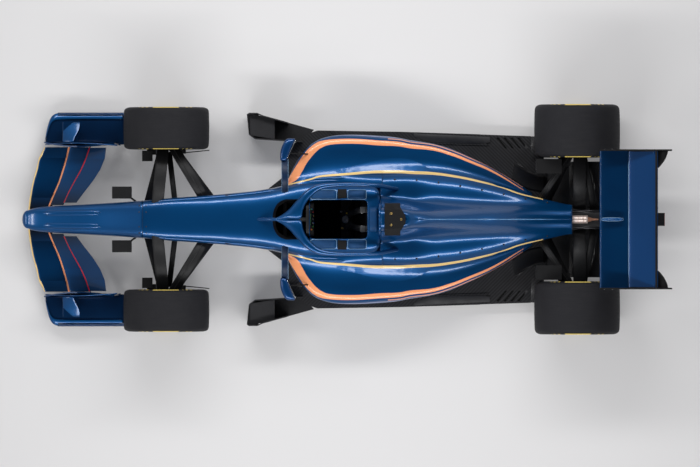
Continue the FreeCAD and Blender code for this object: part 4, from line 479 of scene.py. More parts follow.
# A lighter grey for a painted reflection along the floor's edge.
FLOOR_REFLECTION_GREY = satin("floor_edge_reflection", (0.034, 0.034, 0.037), 0.55, grain=300.0, strength=0.03, specular=0.3)
CLOTH = satin("shoulder_pad_cloth", (0.060, 0.062, 0.066), 0.85, grain=900.0, strength=0.3)
BUTTON_COLORS = [(0.55, 0.03, 0.03), (0.05, 0.30, 0.06), (0.65, 0.42, 0.04), (0.04, 0.12, 0.45)]
RED_BUTTON, GREEN_BUTTON, AMBER_BUTTON, BLUE_BUTTON = [
    satin("button_%d" % i, tint, 0.45, grain=500.0, strength=0.05, coat=0.2)
    for i, tint in enumerate(BUTTON_COLORS)]


def dress(material, *names):
    """Gives whole nodes a material; a star in a name stands for each side."""
    for name in names:
        for side in ("right", "left") if "*" in name else ("",):
            materials = NODES[name.replace("*", side)].data.materials
            materials.clear()
            materials.append(material)


dress(PAINT, "chassis_tub", "nose_cone", "engine_cover", "sidepod_*")
dress(PLAIN_PAINT, "roll_hoop", "halo", "mirrors")
dress(DARK_PAINT, "rear_flap")
dress(REAR_PAINT, "rear_wing")
dress(FRONT_PAINT, "front_wing")
dress(FLAP_PAINT, "front_flap_*")
dress(ENDPLATE_PAINT, "front_endplate_*")
dress(PAD_COVER, "cockpit_padding")
dress(BLACK, "front_upright_*", "rear_upright_*", "rear_endplate_*", "nose_pods", "camera_saddle")
dress(CARBON_FINE, "floor_board_*", "gearbox", "seat")
dress(CARBON_WEAVE, "front_suspension_*", "rear_suspension_*", "diffuser")
dress(DARK_ALLOY, "rim_front_*", "rim_rear_*", "steering_rack")
dress(FLOOR_WEAVE, "floor")
dress(PLANK, "plank")
dress(GREY_ALLOY, "power_unit")
dress(EXHAUST, "exhaust")
dress(lamp_lens(), "tail_lamp")
dress(GRIP, "steering_wheel")


# Meshes.
def piece(name, build, material, body="root", smooth=True):
    """A new piece made by build(bm), riding on a body."""
    mesh = bpy.data.meshes.new(name)
    bm = bmesh.new()
    build(bm)
    bmesh.ops.recalc_face_normals(bm, faces=bm.faces)
    bm.to_mesh(mesh)
    bm.free()
    for face in mesh.polygons:
        face.use_smooth = smooth
    mesh.materials.append(material)
    thing = linked(name, mesh)
    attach(thing, body)
    return thing


def linked(name, data):
    thing = bpy.data.objects.new(name, data)
    bpy.context.scene.collection.objects.link(thing)
    return thing


def skin(bm, rings, torus=False):
    """Faces between rings of equal count; the ends are capped, or joined to each other as on a torus."""
    loops = [[bm.verts.new(p) for p in ring] for ring in rings]
    for first, second in zip(loops, loops[1:] + loops[:1] if torus else loops[1:]):
        for i in range(len(first)):
            j = (i + 1) % len(first)
            bm.faces.new((first[i], first[j], second[j], second[i]))
    if not torus:
        bm.faces.new(loops[0][::-1])
        bm.faces.new(loops[-1])


def skins(name, shells, material, body="root", smooth=True, torus=False):
    """A piece of one or more shells, each a list of rings."""
    def build(bm):
        for rings in shells:
            skin(bm, rings, torus)
    return piece(name, build, material, body, smooth)


def pair(name, shells, material, stands_for=None):
    """A right and a left piece, from shells drawn for the right side."""
    for side, sign in SIDES:
        turned_over = [[mirrored(ring, sign) for ring in rings] for rings in shells]
        thing = skins("%s_%s" % (name, side), turned_over, material)
        if stands_for:
            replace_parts(thing, stands_for.replace("*", side))


def two_sided(bm, top, low):
    """An upper and a lower grid of faces; a lower point that is None shares the upper one."""
    upper = [[bm.verts.new(p) for p in row] for row in top]
    lower = [[bm.verts.new(p) if p else above for p, above in zip(*rows)] for rows in zip(low, upper)]
    for i in range(len(top) - 1):
        for j in range(len(top[0]) - 1):
            bm.faces.new((upper[i][j], upper[i][j + 1], upper[i + 1][j + 1], upper[i + 1][j]))
            bm.faces.new((lower[i][j], lower[i + 1][j], lower[i + 1][j + 1], lower[i][j + 1]))
    return upper, lower


def slab(bm, outline, push, bevel=0.0):
    """A flat outline pushed along a vector, with its edges softened."""
    near = [bm.verts.new(p) for p in outline]
    far = [bm.verts.new(Vector(p) + Vector(push)) for p in outline]
    faces = [bm.faces.new(near[::-1]), bm.faces.new(far)]
    for i in range(len(near)):
        j = (i + 1) % len(near)
        faces.append(bm.faces.new((near[i], near[j], far[j], far[i])))
    if bevel:
        edges = list({edge for face in faces for edge in face.edges})
        bmesh.ops.bevel(bm, geom=edges, offset=bevel, segments=3, profile=0.6, affect="EDGES",
                        clamp_overlap=True)


def sheet(name, outline, push, bevel, material, slot, body="root"):
    return piece(name, lambda bm: slab(bm, outline, push, bevel), material, body)


def block(name, x, y, z, bevel, material, slot, body="root"):
    """A soft-edged block between two places along each axis."""
    return sheet(name, rectangle(*x, *y, z[0]), (0, 0, z[1] - z[0]), bevel, material, slot, body)


def tube_rings(points, radius, sides=12):
    """Round rings along a line; radius is one number or one for each point."""
    spots = [Vector(p) for p in points]
    radii = radius if isinstance(radius, (list, tuple)) else [radius] * len(spots)
    last = len(spots) - 1
    up = (spots[1] - spots[0]).normalized().orthogonal().normalized()
    rings = []
    for i, spot in enumerate(spots):
        ahead = (spots[min(i + 1, last)] - spots[max(i - 1, 0)]).normalized()
        across = ahead.cross(up).normalized()
        up = across.cross(ahead).normalized()
        rings.append(round_ring(spot, up, across, radii[i], sides))
    return rings


def tube(name, points, radius, material, body="root", sides=12):
    return skins(name, [tube_rings(points, radius, sides)], material, body)


def ring_tube(name, points, radius, material, body="root", sides=10):
    """A bead along a closed flat path."""
    spots = [Vector(p) for p in points]
    nexts = spots[1:] + spots[:1]
    centre = sum(spots, Vector()) / len(spots)
    flat = sum(((a - centre).cross(b - centre) for a, b in zip(spots, nexts)), Vector()).normalized()
    rings = []
    for before, spot, after in zip(spots[-1:] + spots, spots, nexts):
        out = (after - before).normalized().cross(flat).normalized()
        rings.append(round_ring(spot, out, flat, radius, sides))
    return skins(name, [rings], material, body, torus=True)


def arm_rings(start, end, chord, depth):
    """A streamlined arm from start to end: a drop-shaped section, long way along X."""
    rings = []
    for x, y, z in (start, end):
        ring = []
        for along, sine in circle(28):
            taper = 0.90 - (0.35 if along > 0 else 0.25) * along
            ring.append((x + chord / 2 * along, y, z + depth / 2 * sine * taper))
        rings.append(ring)
    return rings


def lathe_rings(profile, centre, steps):
    """Rings of (radius, across) points about a line along Y through centre."""
    return [round_ring(centre + Y_AXIS * across, Z_AXIS, X_AXIS, radius, steps) for radius, across in profile]


def turned(profile, centre, axis, steps=24):
    """Rings of (radius, along) points about an axis through centre."""
    axis = Vector(axis).normalized()
    right = axis.orthogonal().normalized()
    up = axis.cross(right)
    return [round_ring(Vector(centre) + axis * along, right, up, radius, steps) for radius, along in profile]


def studs(name, spots, radius, height, material, body="root", axis=(0, 0, 1), steps=14):
    """Small domed heads."""
    dome = [(radius, -height), (radius, height * 0.35), (radius * 0.86, height * 0.75),
            (radius * 0.5, height), (radius * 0.12, height * 1.06)]
    return skins(name, [turned(dome, spot, axis, steps) for spot in spots], material, body)


# Reading the solids.
TREES = {}


def tree_of(name):
    """A node's faces, for rays."""
    if name not in TREES:
        mesh = NODES[name].data
        spots = [NODES[name].matrix_world @ v.co for v in mesh.vertices]
        TREES[name] = BVHTree.FromPolygons(spots, [tuple(p.vertices) for p in mesh.polygons])
    return TREES[name]


def top_of(names, x, y, else_z=None):
    """The highest point of some nodes at (x, y)."""
    spots = [tree_of(name).ray_cast(Vector((x, y, 3.0)), Vector((0, 0, -1)))[0] for name in names]
    return max((spot.z for spot in spots if spot is not None), default=else_z)


def half_width(node, x):
    """How far a node reaches from the centreline at x."""
    y = 0.45
    while y > 0.10 and top_of((node,), x, y) is None:
        y -= 0.003
    return y


def draped(name, node, points, radius, material, lift, sides):
    """A bead along (x, y) points, lying on a node and thinner at its ends."""
    path = softened([(x, y, top_of((node,), x, y) + lift) for x, y in smooth_line(points)], 1, 0)
    radii = [radius * min(1.0, 0.25 + 0.25 * min(i, len(path) - 1 - i)) for i in range(len(path))]
    return tube(name, path, radii, material, "root", sides)


# Wheels: the tyre, a dished cover with vanes, a centre nut and a bright flange edge.
def tyre_profile(width):
    wide = width / 2
    half = [(RIM_R + 0.001, wide * 0.795), (RIM_R + 0.010, wide * 0.80), (RIM_R + 0.020, wide * 0.855),
            (TYRE_R * 0.74, wide * 0.930), (TYRE_R * 0.80, wide * 0.985), (TYRE_R * 0.855, wide * 0.995),
            (TYRE_R * 0.905, wide * 0.975), (TYRE_R * 0.945, wide * 0.940), (TYRE_R * 0.974, wide * 0.885),
            (TYRE_R * 0.989, wide * 0.79), (TYRE_R * 0.996, wide * 0.55), (TYRE_R * 0.9995, wide * 0.2)]
    outer = smooth_line(half + [(r, -y) for r, y in reversed(half)], 4)
    return outer + [(RIM_R + 0.001, -wide * 0.70), (RIM_R + 0.03, -wide * 0.72), (RIM_R + 0.03, wide * 0.72),
                    (RIM_R + 0.001, wide * 0.70)]


# Rows: radius, and place along the axle from the wheel's face outwards.
COVER_PROFILE = [
    (0.2225, -0.016), (0.2215, -0.004), (0.212, 0.0), (0.190, -0.006), (0.140, -0.018), (0.080, -0.012),
    (0.056, -0.002), (0.048, -0.004), (0.046, -0.030), (0.140, -0.030), (0.210, -0.020)]
NUT_COLLAR = [(0.045, -0.028), (0.045, -0.008), (0.041, -0.003), (0.036, -0.002)]
NUT_HEAD = [(0.034, -0.006), (0.033, 0.008), (0.028, 0.0135), (0.016, 0.0140), (0.014, 0.009)]
# Rows: turn from the vane's start, radius, and place along the axle.
VANE = [(0.0, 0.084, -0.0105), (0.08, 0.140, -0.0160), (0.16, 0.198, -0.0035)]
VANE_RADII = [0.0012, 0.0028, 0.0034, 0.0036, 0.0034, 0.0028, 0.0012]
VANE_COUNT = 20
FLANGE_R = 0.2265
for end, (axle_x, wheel_y, width, face) in WHEELS.items():
    tyre_rubber = rubber(end + "_tyre_rubber", axle_x, wheel_y, width)
    for side, sign in SIDES:
        label = "%s_%s" % (end, side)
        body = "wheel_" + label
        out = Y_AXIS * sign
        hub = Vector((axle_x, sign * wheel_y, AXLE_Z))
        outside = hub + out * face
        tyre = skins("tyre_%s_rubber" % label, [lathe_rings(tyre_profile(width), hub, 144)],
                     tyre_rubber, body, torus=True)
        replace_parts(tyre, "tyre_" + label)
        dish = lathe_rings([(radius, sign * along) for radius, along in COVER_PROFILE], outside, 96)
        skins("wheel_cover_" + label, [dish], COVER_BLACK, body, torus=True)
        vanes = []
        for i in range(VANE_COUNT):
            line = []
            for turn, radius, along in VANE:
                angle = math.tau * i / VANE_COUNT + turn
                spoke = X_AXIS * math.sin(angle) + Z_AXIS * math.cos(angle)
                line.append(tuple(outside + spoke * radius + out * along))
            vanes.append(tube_rings(smooth_line(line, 3), VANE_RADII, 6))
        skins("wheel_vanes_" + label, vanes, COVER_BLACK, body)
        nut = [turned(NUT_COLLAR, outside, out, 12), turned(NUT_HEAD, outside, out, 24)]
        skins("wheel_nut_" + label, nut, RED_BUTTON if side == "right" else BLUE_BUTTON, body,
              smooth=False)
        edge = round_ring(outside - out * 0.006, Z_AXIS, X_AXIS, FLANGE_R, 96)
        ring_tube("wheel_flange_" + label, edge, 0.0038, GREY_ALLOY, body)

# The halo: two arms that meet in a fork over the centre pillar.
# Rows: outer edge x and y, inner edge x and y, height of its middle, thickness.
HALO_ROWS = [
    (-0.606, 0.004, -0.590, 0.000, 0.728, 0.026), (-0.570, 0.018, -0.550, 0.000, 0.744, 0.032),
    (-0.520, 0.046, -0.495, 0.000, 0.763, 0.038), (-0.467, 0.090, -0.440, 0.000, 0.781, 0.042),
    (-0.432, 0.130, -0.398, 0.000, 0.790, 0.044), (-0.400, 0.166, -0.370, 0.016, 0.796, 0.045),
    (-0.372, 0.198, -0.358, 0.074, 0.799, 0.046), (-0.343, 0.227, -0.333, 0.132, 0.800, 0.047),
    (-0.288, 0.265, -0.288, 0.187, 0.799, 0.047), (-0.219, 0.292, -0.222, 0.238, 0.795, 0.045),
    (-0.136, 0.300, -0.126, 0.263, 0.788, 0.043), (0.000, 0.302, 0.004, 0.273, 0.780, 0.042),
    (0.153, 0.300, 0.150, 0.270, 0.765, 0.042), (0.260, 0.294, 0.250, 0.263, 0.738, 0.044),
    (0.330, 0.284, 0.318, 0.252, 0.700, 0.046), (0.385, 0.272, 0.370, 0.238, 0.650, 0.050),
    (0.440, 0.262, 0.420, 0.228, 0.585, 0.052)]
# Rows: x and height of its middle, length, width.
PILLAR_ROWS = [
    (-0.716, 0.612, 0.130, 0.034), (-0.700, 0.650, 0.104, 0.030), (-0.660, 0.690, 0.086, 0.028),
    (-0.610, 0.725, 0.080, 0.027), (-0.545, 0.752, 0.080, 0.026), (-0.470, 0.772, 0.070, 0.020)]


def halo_arm():
    """The right arm: a ridged top over a round underside."""
    rings = []
    for ox, oy, ix, iy, z, deep in smooth_line(HALO_ROWS, 5):
        ring = []
        ridge = 0.378 * min(math.dist((ox, oy), (ix, iy)) / 2, 0.026)
        crown, belly = deep / 2 - ridge, deep / 2 - ridge * 0.5
        for cosine, sine in circle(28):
            u = signed_power(cosine, 0.8)
            if sine >= 0:
                lift = crown * (1 - u ** 8) - ridge * (math.sqrt(u * u + 0.004) - 1.0 + 0.5 * u ** 8)
            else:
                lift = -ridge * 0.5 - belly * math.sqrt(max(0.0, 1 - u * u))
            along = 0.5 + 0.5 * u
            ring.append((lerp(ix, ox, along), lerp(iy, oy, along), z + lift))
        rings.append(ring)
    return rings


right_arm = halo_arm()
left_arm = [mirrored(ring, -1) for ring in right_arm]
pillar = [[(x + long / 2 * cosine, wide / 2 * sine, z) for cosine, sine in circle(20)]
          for x, z, long, wide in PILLAR_ROWS]
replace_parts(skins("halo_skin", [right_arm, left_arm, pillar], PLAIN_PAINT), "halo")

# The surround of the cockpit, with its soft pads.
SURROUND_OUTER = rounded(rectangle(-0.303, 0.277, -0.257, 0.257), 0.07)
SURROUND_INNER = rounded(rectangle(-0.309, 0.172, -0.160, 0.160), 0.035)
SURROUND_MIDDLE = -0.02
SURROUND_FOOT, FLANK_FOOT = 0.572, 0.560
# Share of the way from the inner to the outer edge, and the drop below the panel; None is the foot.
SURROUND_SECTION = [(0.0, None), (0.0, 0.006), (0.06, 0.0), (0.80, 0.0), (1.0, 0.004), (1.0, None)]


def surround_top(x, y):
    """Height of the panel round the driver: it falls towards the sides and the front."""
    return 0.655 - 0.20 * max(0.0, abs(y) - 0.16) - 0.05 * max(0.0, -0.05 - x)


def crossing(outline, cosine, sine):
    """Where a ray from the opening's middle meets an outline round it."""
    reach = 0.0
    for (ax, ay, _), (bx, by, _) in zip(outline, outline[1:] + outline[:1]):
        start, edge_x, edge_y = ax - SURROUND_MIDDLE, bx - ax, by - ay
        cross = cosine * edge_y - sine * edge_x
        if abs(cross) < 1e-12:
            continue
        share = (start * sine - ay * cosine) / cross
        if -1e-9 <= share <= 1 + 1e-9:
            reach = max(reach, (start * edge_y - ay * edge_x) / cross)
    return SURROUND_MIDDLE + cosine * reach, sine * reach


def surround_rings():
    columns = []
    for i in range(72):
        angle = math.tau * (i + 0.5) / 72
        cosine, sine = math.cos(angle), math.sin(angle)
        (ox, oy), (ix, iy) = crossing(SURROUND_OUTER, cosine, sine), crossing(SURROUND_INNER, cosine, sine)
        column = []
        for share, drop in SURROUND_SECTION:
            x, y = lerp(ix, ox, share), lerp(iy, oy, share)
            column.append((x, y, SURROUND_FOOT if drop is None else surround_top(x, y) - drop))
        flank = held((abs(iy) - 0.12) / 0.04) * held((0.277 - ox) / 0.05)
        column[4] = (ox, oy * (1 + 0.05 * flank), column[4][2] - 0.012 * flank)
        column[5] = (ox, oy * (1 + 0.15 * flank), FLANK_FOOT)
        columns.append(column)
    return list(zip(*columns))


skins("cockpit_surround", [surround_rings()], SURROUND_PAINT, torus=True)


def pad(name, x_ends, y_ends, top, crown):
    """A crowned cushion whose sides pull in between its corners; top(x, y) is the surface that it lies on."""
    along, across = 18, 14

    def build(bm):
        tops, lows = [], []
        for i in range(along + 1):
            tops.append([])
            lows.append([])
            for j in range(across + 1):
                u, v = i / along, j / across
                du, dv = 2 * u - 1, 2 * v - 1
                corner = 1 - max(0.0, abs(du) + abs(dv) - 1.55) * 0.30
                x = sum(x_ends) / 2 + (x_ends[1] - x_ends[0]) / 2 * du * (1 - 0.035 * (1 - dv * dv)) * corner
                y = sum(y_ends) / 2 + (y_ends[1] - y_ends[0]) / 2 * dv * (1 - 0.050 * (1 - du * du)) * corner
                lift = math.sin(math.pi * 0.5 * min(1.0, 6 * min(u, 1 - u, v, 1 - v))) ** 0.8
                dome = (1 - du ** 4) * (1 - dv ** 4)
                base = top(x, y) - 0.006
                tops[-1].append((x, y, base + crown * (0.55 + 0.45 * dome) * lift + 0.002))
                lows[-1].append((x, y, base - 0.004) if 0 < i < along and 0 < j < across else None)
        two_sided(bm, tops, lows)
    cushion = piece(name, build, PAD_COVER)
    return cushion


pads = []
for side, sign in SIDES:
    for label, x0, x1 in (("front", -0.300, -0.078), ("rear", 0.006, 0.168)):
        y_ends = sorted((sign * 0.164, sign * 0.246))
        pads.append(pad("pad_%s_%s" % (label, side), (x0, x1), y_ends, surround_top, 0.020))
        seam = rounded(rectangle(x0 + 0.004, x1 - 0.004, sign * 0.166, sign * 0.244), 0.018)
        path = [(x, y, surround_top(x, y) + 0.0015) for x, y, _ in seam]
        tube("pad_piping_%s_%s" % (label, side), path + path[:1], 0.0022, PIPING_AND_EDGE_HIGHLIGHT, sides=8)
headrest = pad("headrest", (0.180, 0.262), (-0.112, 0.112), lambda x, y: 0.655, 0.034)
for cushion in (headrest, *pads):
    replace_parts(cushion, "cockpit_padding")


# Inside the cockpit: belts and their buckle.
def strap(name, points, wide):
    """A flat belt along a line, lying across Y where the line lets it."""
    line = smooth_line(points)
    rings = []
    for i, place in enumerate(line):
        ahead = (Vector(line[min(i + 1, len(line) - 1)]) - Vector(line[max(i - 1, 0)])).normalized()
        sideways = Y_AXIS if abs(ahead.y) < 0.8 else X_AXIS
        across = (sideways - ahead * sideways.dot(ahead)).normalized()
        up = ahead.cross(across) * 0.0011
        across *= wide / 2
        corners = (-across - up, across - up, across + up, up - across)
        rings.append([tuple(Vector(place) + corner) for corner in corners])
    skins(name, [rings], WEBBING)


SHOULDER_BELT = [
    (0.186, 0.080, 0.560), (0.150, 0.080, 0.548), (0.100, 0.074, 0.440), (0.040, 0.050, 0.330),
    (-0.004, 0.022, 0.290)]
LAP_BELT = [(0.060, 0.158, 0.215), (0.030, 0.120, 0.250), (0.000, 0.070, 0.282), (-0.010, 0.024, 0.290)]
CROTCH_BELT = [(-0.060, 0.0, 0.175), (-0.050, 0.0, 0.230), (-0.030, 0.0, 0.280), (-0.012, 0.0, 0.290)]
for side, sign in SIDES:
    strap("shoulder_belt_" + side, mirrored(SHOULDER_BELT, sign), 0.050)
    strap("lap_belt_" + side, mirrored(LAP_BELT, sign), 0.048)
strap("crotch_belt", CROTCH_BELT, 0.046)
BUCKLE = [(0.026, 0.288), (0.033, 0.291), (0.033, 0.300), (0.028, 0.305), (0.012, 0.3065), (0.010, 0.304)]
buckle_rings = [round_ring((-0.008, 0, z), X_AXIS, Y_AXIS, radius, 32) for radius, z in BUCKLE]
skins("buckle", [buckle_rings], GREY_ALLOY)

# The engine cover, with its hump and spine flowing into the shoulders.
COVER_START, COVER_END = 0.2800, 1.8650
COVER_STATIONS, COVER_SHARES = 120, 44


def cover_rings():
    stations = [lerp(COVER_START, COVER_END, i / COVER_STATIONS) for i in range(COVER_STATIONS + 1)]
    inside = [min(max(x, 0.284), 1.862) for x in stations]
    edges = [row[0] for row in softened([[half_width("engine_cover", x)] for x in inside], 6, 0)]
    shares = [i / COVER_SHARES for i in range(COVER_SHARES + 1)]
    rows = []
    for x, edge in zip(inside, edges):
        row = []
        for share in shares:
            z = top_of(("engine_cover", "roll_hoop"), x, share * (edge - 0.003))
            if z is None or (z < 0.585 and x < 0.52 and 0.20 < share * edge < 0.33):
                z = row[-1] if row else 0.6
            row.append(z)
        rows.append(row)
    rows = softened(rows, 8, 18)
    rings = []
    for x, edge, row, broad in zip(stations, edges, rows, softened(rows, 6, 60)):
        blend = 0.85 * ease((x - 0.52) / 0.25)
        row = [lerp(z, soft, blend) for z, soft in zip(row, broad)]
        half = [(x, share * edge, z) for share, z in zip(shares, row)]
        half += [(x, edge + 0.001, row[-1] - 0.012), (x, edge - 0.002, row[-1] - 0.050),
                 (x, edge - 0.012, row[-1] - 0.090)]
        rings.append(mirrored(half[::-1], -1) + half[1:])
    return rings


cover = skins("engine_cover_skin", [cover_rings()], PAINT)
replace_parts(cover, "engine_cover")
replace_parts(cover, "roll_hoop")

# The nose: sections read round an axis, closed by a rounded tip.
NOSE_START, NOSE_END, NOSE_TIP = -2.640, -1.6835, -2.688
NOSE_STATIONS, TIP_STATIONS = 60, 7


def nose_rings():
    tree = tree_of("nose_cone")
    turns = circle(64)
    stations = [lerp(NOSE_START, NOSE_END, i / NOSE_STATIONS) for i in range(NOSE_STATIONS + 1)]
    rows, middles = [], []
    for x in stations:
        at = min(x, -1.6850)
        low = tree.ray_cast(Vector((at, 0, -1)), Vector((0, 0, 1)))[0].z
        centre = Vector((at, 0, (top_of(("nose_cone",), at, 0.0) + low) / 2))
        row = []
        for cosine, sine in turns:
            out = Vector((0, sine, cosine))
            row.append((tree.ray_cast(centre + out * 0.6, -out)[0] - centre).length)
        rows.append(row)
        middles.append([centre.z])
    rows = [softened([row + row[:1]], 0, 2)[0][:-1] for row in softened(rows, 4, 0)]
    middles = [row[0] for row in softened(middles, 6, 0)]
    tip = []
    for i in range(TIP_STATIONS):
        angle = math.pi / 2 * (i + 0.35) / (TIP_STATIONS + 0.35)
        x = NOSE_TIP + (NOSE_START - NOSE_TIP) * (1 - math.cos(angle))
        tip.append((x, [reach * math.sin(angle) for reach in rows[0]], middles[0]))
    return [[(x, reach * sine, z + reach * cosine) for reach, (cosine, sine) in zip(row, turns)]
            for x, row, z in tip + list(zip(stations, rows, middles))]


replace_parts(skins("nose_skin", [nose_rings()], PAINT), "nose_cone")

# The pods' upper skins: a crest beside the cover, a plateau and a rounded edge.
# Rows: x, outer edge, inner edge, crest height, plateau height.
POD_TOP = [
    (-0.450, 0.402, 0.275, 0.551, 0.526), (-0.400, 0.487, 0.283, 0.566, 0.538),
    (-0.350, 0.560, 0.290, 0.575, 0.542), (-0.300, 0.615, 0.295, 0.579, 0.543),
    (-0.240, 0.655, 0.298, 0.579, 0.540), (-0.170, 0.680, 0.300, 0.578, 0.536),
    (-0.100, 0.692, 0.300, 0.576, 0.532), (0.030, 0.698, 0.300, 0.571, 0.524),
    (0.100, 0.698, 0.302, 0.567, 0.518), (0.200, 0.692, 0.322, 0.556, 0.507),
    (0.300, 0.684, 0.342, 0.539, 0.496), (0.442, 0.670, 0.350, 0.513, 0.476),
    (0.600, 0.647, 0.348, 0.496, 0.452), (0.700, 0.631, 0.343, 0.487, 0.439),
    (0.800, 0.607, 0.335, 0.476, 0.427), (0.900, 0.573, 0.320, 0.462, 0.411),
    (1.050, 0.506, 0.290, 0.436, 0.384), (1.200, 0.432, 0.255, 0.405, 0.352),
    (1.350, 0.346, 0.215, 0.368, 0.320), (1.470, 0.270, 0.180, 0.340, 0.290),
    (1.540, 0.218, 0.160, 0.318, 0.262)]


def pod_top_rings():
    rings = []
    for x, outer, inner, crest, plateau in softened(smooth_line(POD_TOP, 5), 14, 0):
        wide = outer - inner
        t = ease((x - 0.45) / 0.30)
        foot = lerp(plateau - 0.078, 0.10, t)
        section = [(inner, foot), (inner, crest - 0.045), (inner + wide * 0.03, crest - 0.010)]
        for k in range(11):
            section.append((inner + wide * (0.10 + 0.045 * k), lerp(plateau, crest, (1 - k / 10) ** 2.3)))
        section += [(inner + wide * 0.70, plateau - 0.001), (inner + wide * 0.84, plateau - 0.004),
                    (outer - wide * 0.060, plateau - 0.020), (outer - wide * 0.012, plateau - 0.050),
                    (outer - wide * 0.020 * (1 - t), plateau - 0.066 - 0.034 * t),
                    (outer - wide * (0.080 - 0.050 * t), plateau - 0.070 - 0.110 * t),
                    (outer - wide * 0.10, foot)]
        rings.append([(x, y, z) for y, z in smooth_line(section, 3)])
    return rings


pair("pod_top", [pod_top_rings()], PAINT)

# Shoulder fairings: they lead the tub's flanks into the engine cover.
for side, sign in SIDES:
    def fairing(bm):
        tops, lows = [], []
        for i in range(31):
            t = i / 30
            x = lerp(-0.20, 0.300, t)
            tops.append([])
            lows.append([])
            for j in range(19):
                y = lerp(0.262, 0.392, j / 18)
                base = top_of(("chassis_tub", "sidepod_" + side), min(x, 0.26), sign * y, 0.5)
                target = top_of(("engine_cover",), 0.300, sign * min(y, 0.388), 0.5)
                z = lerp(base, max(base, target), ease(t))
                tops[-1].append((x, sign * y, z - 0.002 * (1 - t) + 0.0005))
                lows[-1].append((x, sign * y, base - 0.030))
        upper, lower = two_sided(bm, tops, lows)
        for uppers, lowers in ((upper, lower), (list(zip(*upper)), list(zip(*lower)))):
            for end in (0, -1):
                first, second = uppers[end], lowers[end]
                for k in range(len(first) - 1):
                    bm.faces.new((first[k], first[k + 1], second[k + 1], second[k]))
    piece("shoulder_fairing_" + side, fairing, PAINT)

# Character lines: beads that catch the light as the photograph's creases do.
# Rows: name, node, line, radius, lift, sides.
CREASES = [
    ("nose_crease", "nose_cone", [(-2.58, 0.046), (-2.30, 0.052), (-1.92, 0.054)], 0.036, -0.0280, 72),
    ("tub_edge_line", "chassis_tub", [(-1.675, 0.134), (-1.21, 0.166), (-0.80, 0.203), (-0.545, 0.240)],
     0.026, -0.0232, 56),
]
for side, sign in SIDES:
    for name, node, line, radius, lift, sides in CREASES:
        draped("%s_%s" % (name, side), node, [(x, sign * y) for x, y in line], radius, PAINT, lift, sides)
# The spine bead's lighter blue is a painted highlight along the cover's ridge.
spine = [(x, 0.0) for x in (0.62, 1.0, 1.4, 1.77)]
draped("cover_spine", "engine_cover", spine, 0.0042, SPINE_HIGHLIGHT_PAINT, 0.0015, 8)


# The intake's rolled lip and the saddle's fasteners.
def lip_path():
    """Points just inside the roll hoop's outline, ahead of its face."""
    centre = Vector((0.290, 0, 0.850))
    path = []
    for cosine, sine in circle(48):
        out = Vector((0, sine, cosine))
        spot = tree_of("roll_hoop").ray_cast(centre + out * 0.5, -out)[0]
        if spot is not None:
            path.append((0.2745, spot.y - 0.010 * sine, spot.z - 0.010 * cosine))
    return path


ring_tube("hoop_lip", lip_path(), 0.0105, PLAIN_PAINT)
for i, (cosine, sine) in enumerate(circle(3)):
    x, y = 0.3956 + 0.055 * cosine, 0.055 * sine
    z = top_of(("camera_saddle",), x + 0.006, y) + 0.0012
    edge = round_ring((x, y, z), X_AXIS, Y_AXIS, 0.0072, 32)
    ring_tube("saddle_washer_%d" % i, edge, 0.0024, BRASS)

# Mirrors: swept housings on flat stalks, each with its glass.
# Rows: y, front and rear x, height.
MIRROR_ROWS = [
    (0.484, -0.540, -0.500, 0.022), (0.492, -0.546, -0.494, 0.046), (0.520, -0.548, -0.480, 0.058),
    (0.560, -0.545, -0.466, 0.062), (0.600, -0.534, -0.450, 0.062), (0.635, -0.518, -0.434, 0.058),
    (0.657, -0.502, -0.424, 0.044), (0.667, -0.485, -0.430, 0.018)]
mirror_rings = []
for y, x0, x1, high in smooth_line(MIRROR_ROWS, 3):
    ring = []
    for cosine, sine in circle(28):
        along = 0.5 + 0.5 * signed_power(cosine, 0.55 if cosine > 0 else 1.0)
        ring.append((lerp(x0, x1, along), y, 0.672 + high / 2 * signed_power(sine, 0.8)))
    mirror_rings.append(ring)
pair("mirror_housing", [mirror_rings], DARK_PAINT, "mirrors")
pair("mirror_stalk", [arm_rings((-0.507, 0.200, 0.622), (-0.509, 0.500, 0.672), 0.056, 0.014)], STALK_NAVY)
MIRROR_GLASS = [
    (-0.4915, 0.502, 0.650), (-0.4235, 0.652, 0.652), (-0.4235, 0.652, 0.692), (-0.4915, 0.502, 0.694)]
for side, sign in SIDES:
    outline = rounded(mirrored(MIRROR_GLASS, sign), 0.012)
    sheet("mirror_glass_" + side, outline, (0.0035, -sign * 0.0015, 0.0), 0.0, GLASS, "cast_metal")

# Suspension: streamlined arms in place of the plain struts.
# Rows: inner end, outer end, chord, depth.
FRONT_ARMS = [
    ((-1.567, 0.078, 0.5458), (-1.513, 0.620, 0.505), 0.100, 0.024),
    ((-1.116, 0.078, 0.5506), (-1.446, 0.620, 0.505), 0.100, 0.024),
    ((-1.651, 0.078, 0.3188), (-1.511, 0.620, 0.218), 0.086, 0.024),
    ((-1.051, 0.078, 0.3044), (-1.456, 0.620, 0.218), 0.086, 0.024),
    ((-1.409, 0.078, 0.529), (-1.471, 0.560, 0.218), 0.046, 0.022)]
REAR_ARMS = [
    ((1.537, 0.066, 0.3832), (1.8815, 0.5888, 0.4714), 0.062, 0.022),
    ((1.9276, 0.066, 0.364), (1.9276, 0.5888, 0.4714), 0.105, 0.022),
    ((1.6238, 0.066, 0.2252), (1.8815, 0.5888, 0.2252), 0.062, 0.022),
    ((2.0702, 0.066, 0.326), (1.9365, 0.5888, 0.2252), 0.062, 0.022),
    ((2.0454, 0.066, 0.3256), (1.9563, 0.5888, 0.4126), 0.046, 0.022)]
pair("front_arms", [arm_rings(*row) for row in FRONT_ARMS], ARM_BLACK, "front_suspension_*")
pair("rear_arms", [arm_rings(*row) for row in REAR_ARMS], ARM_BLACK, "rear_suspension_*")

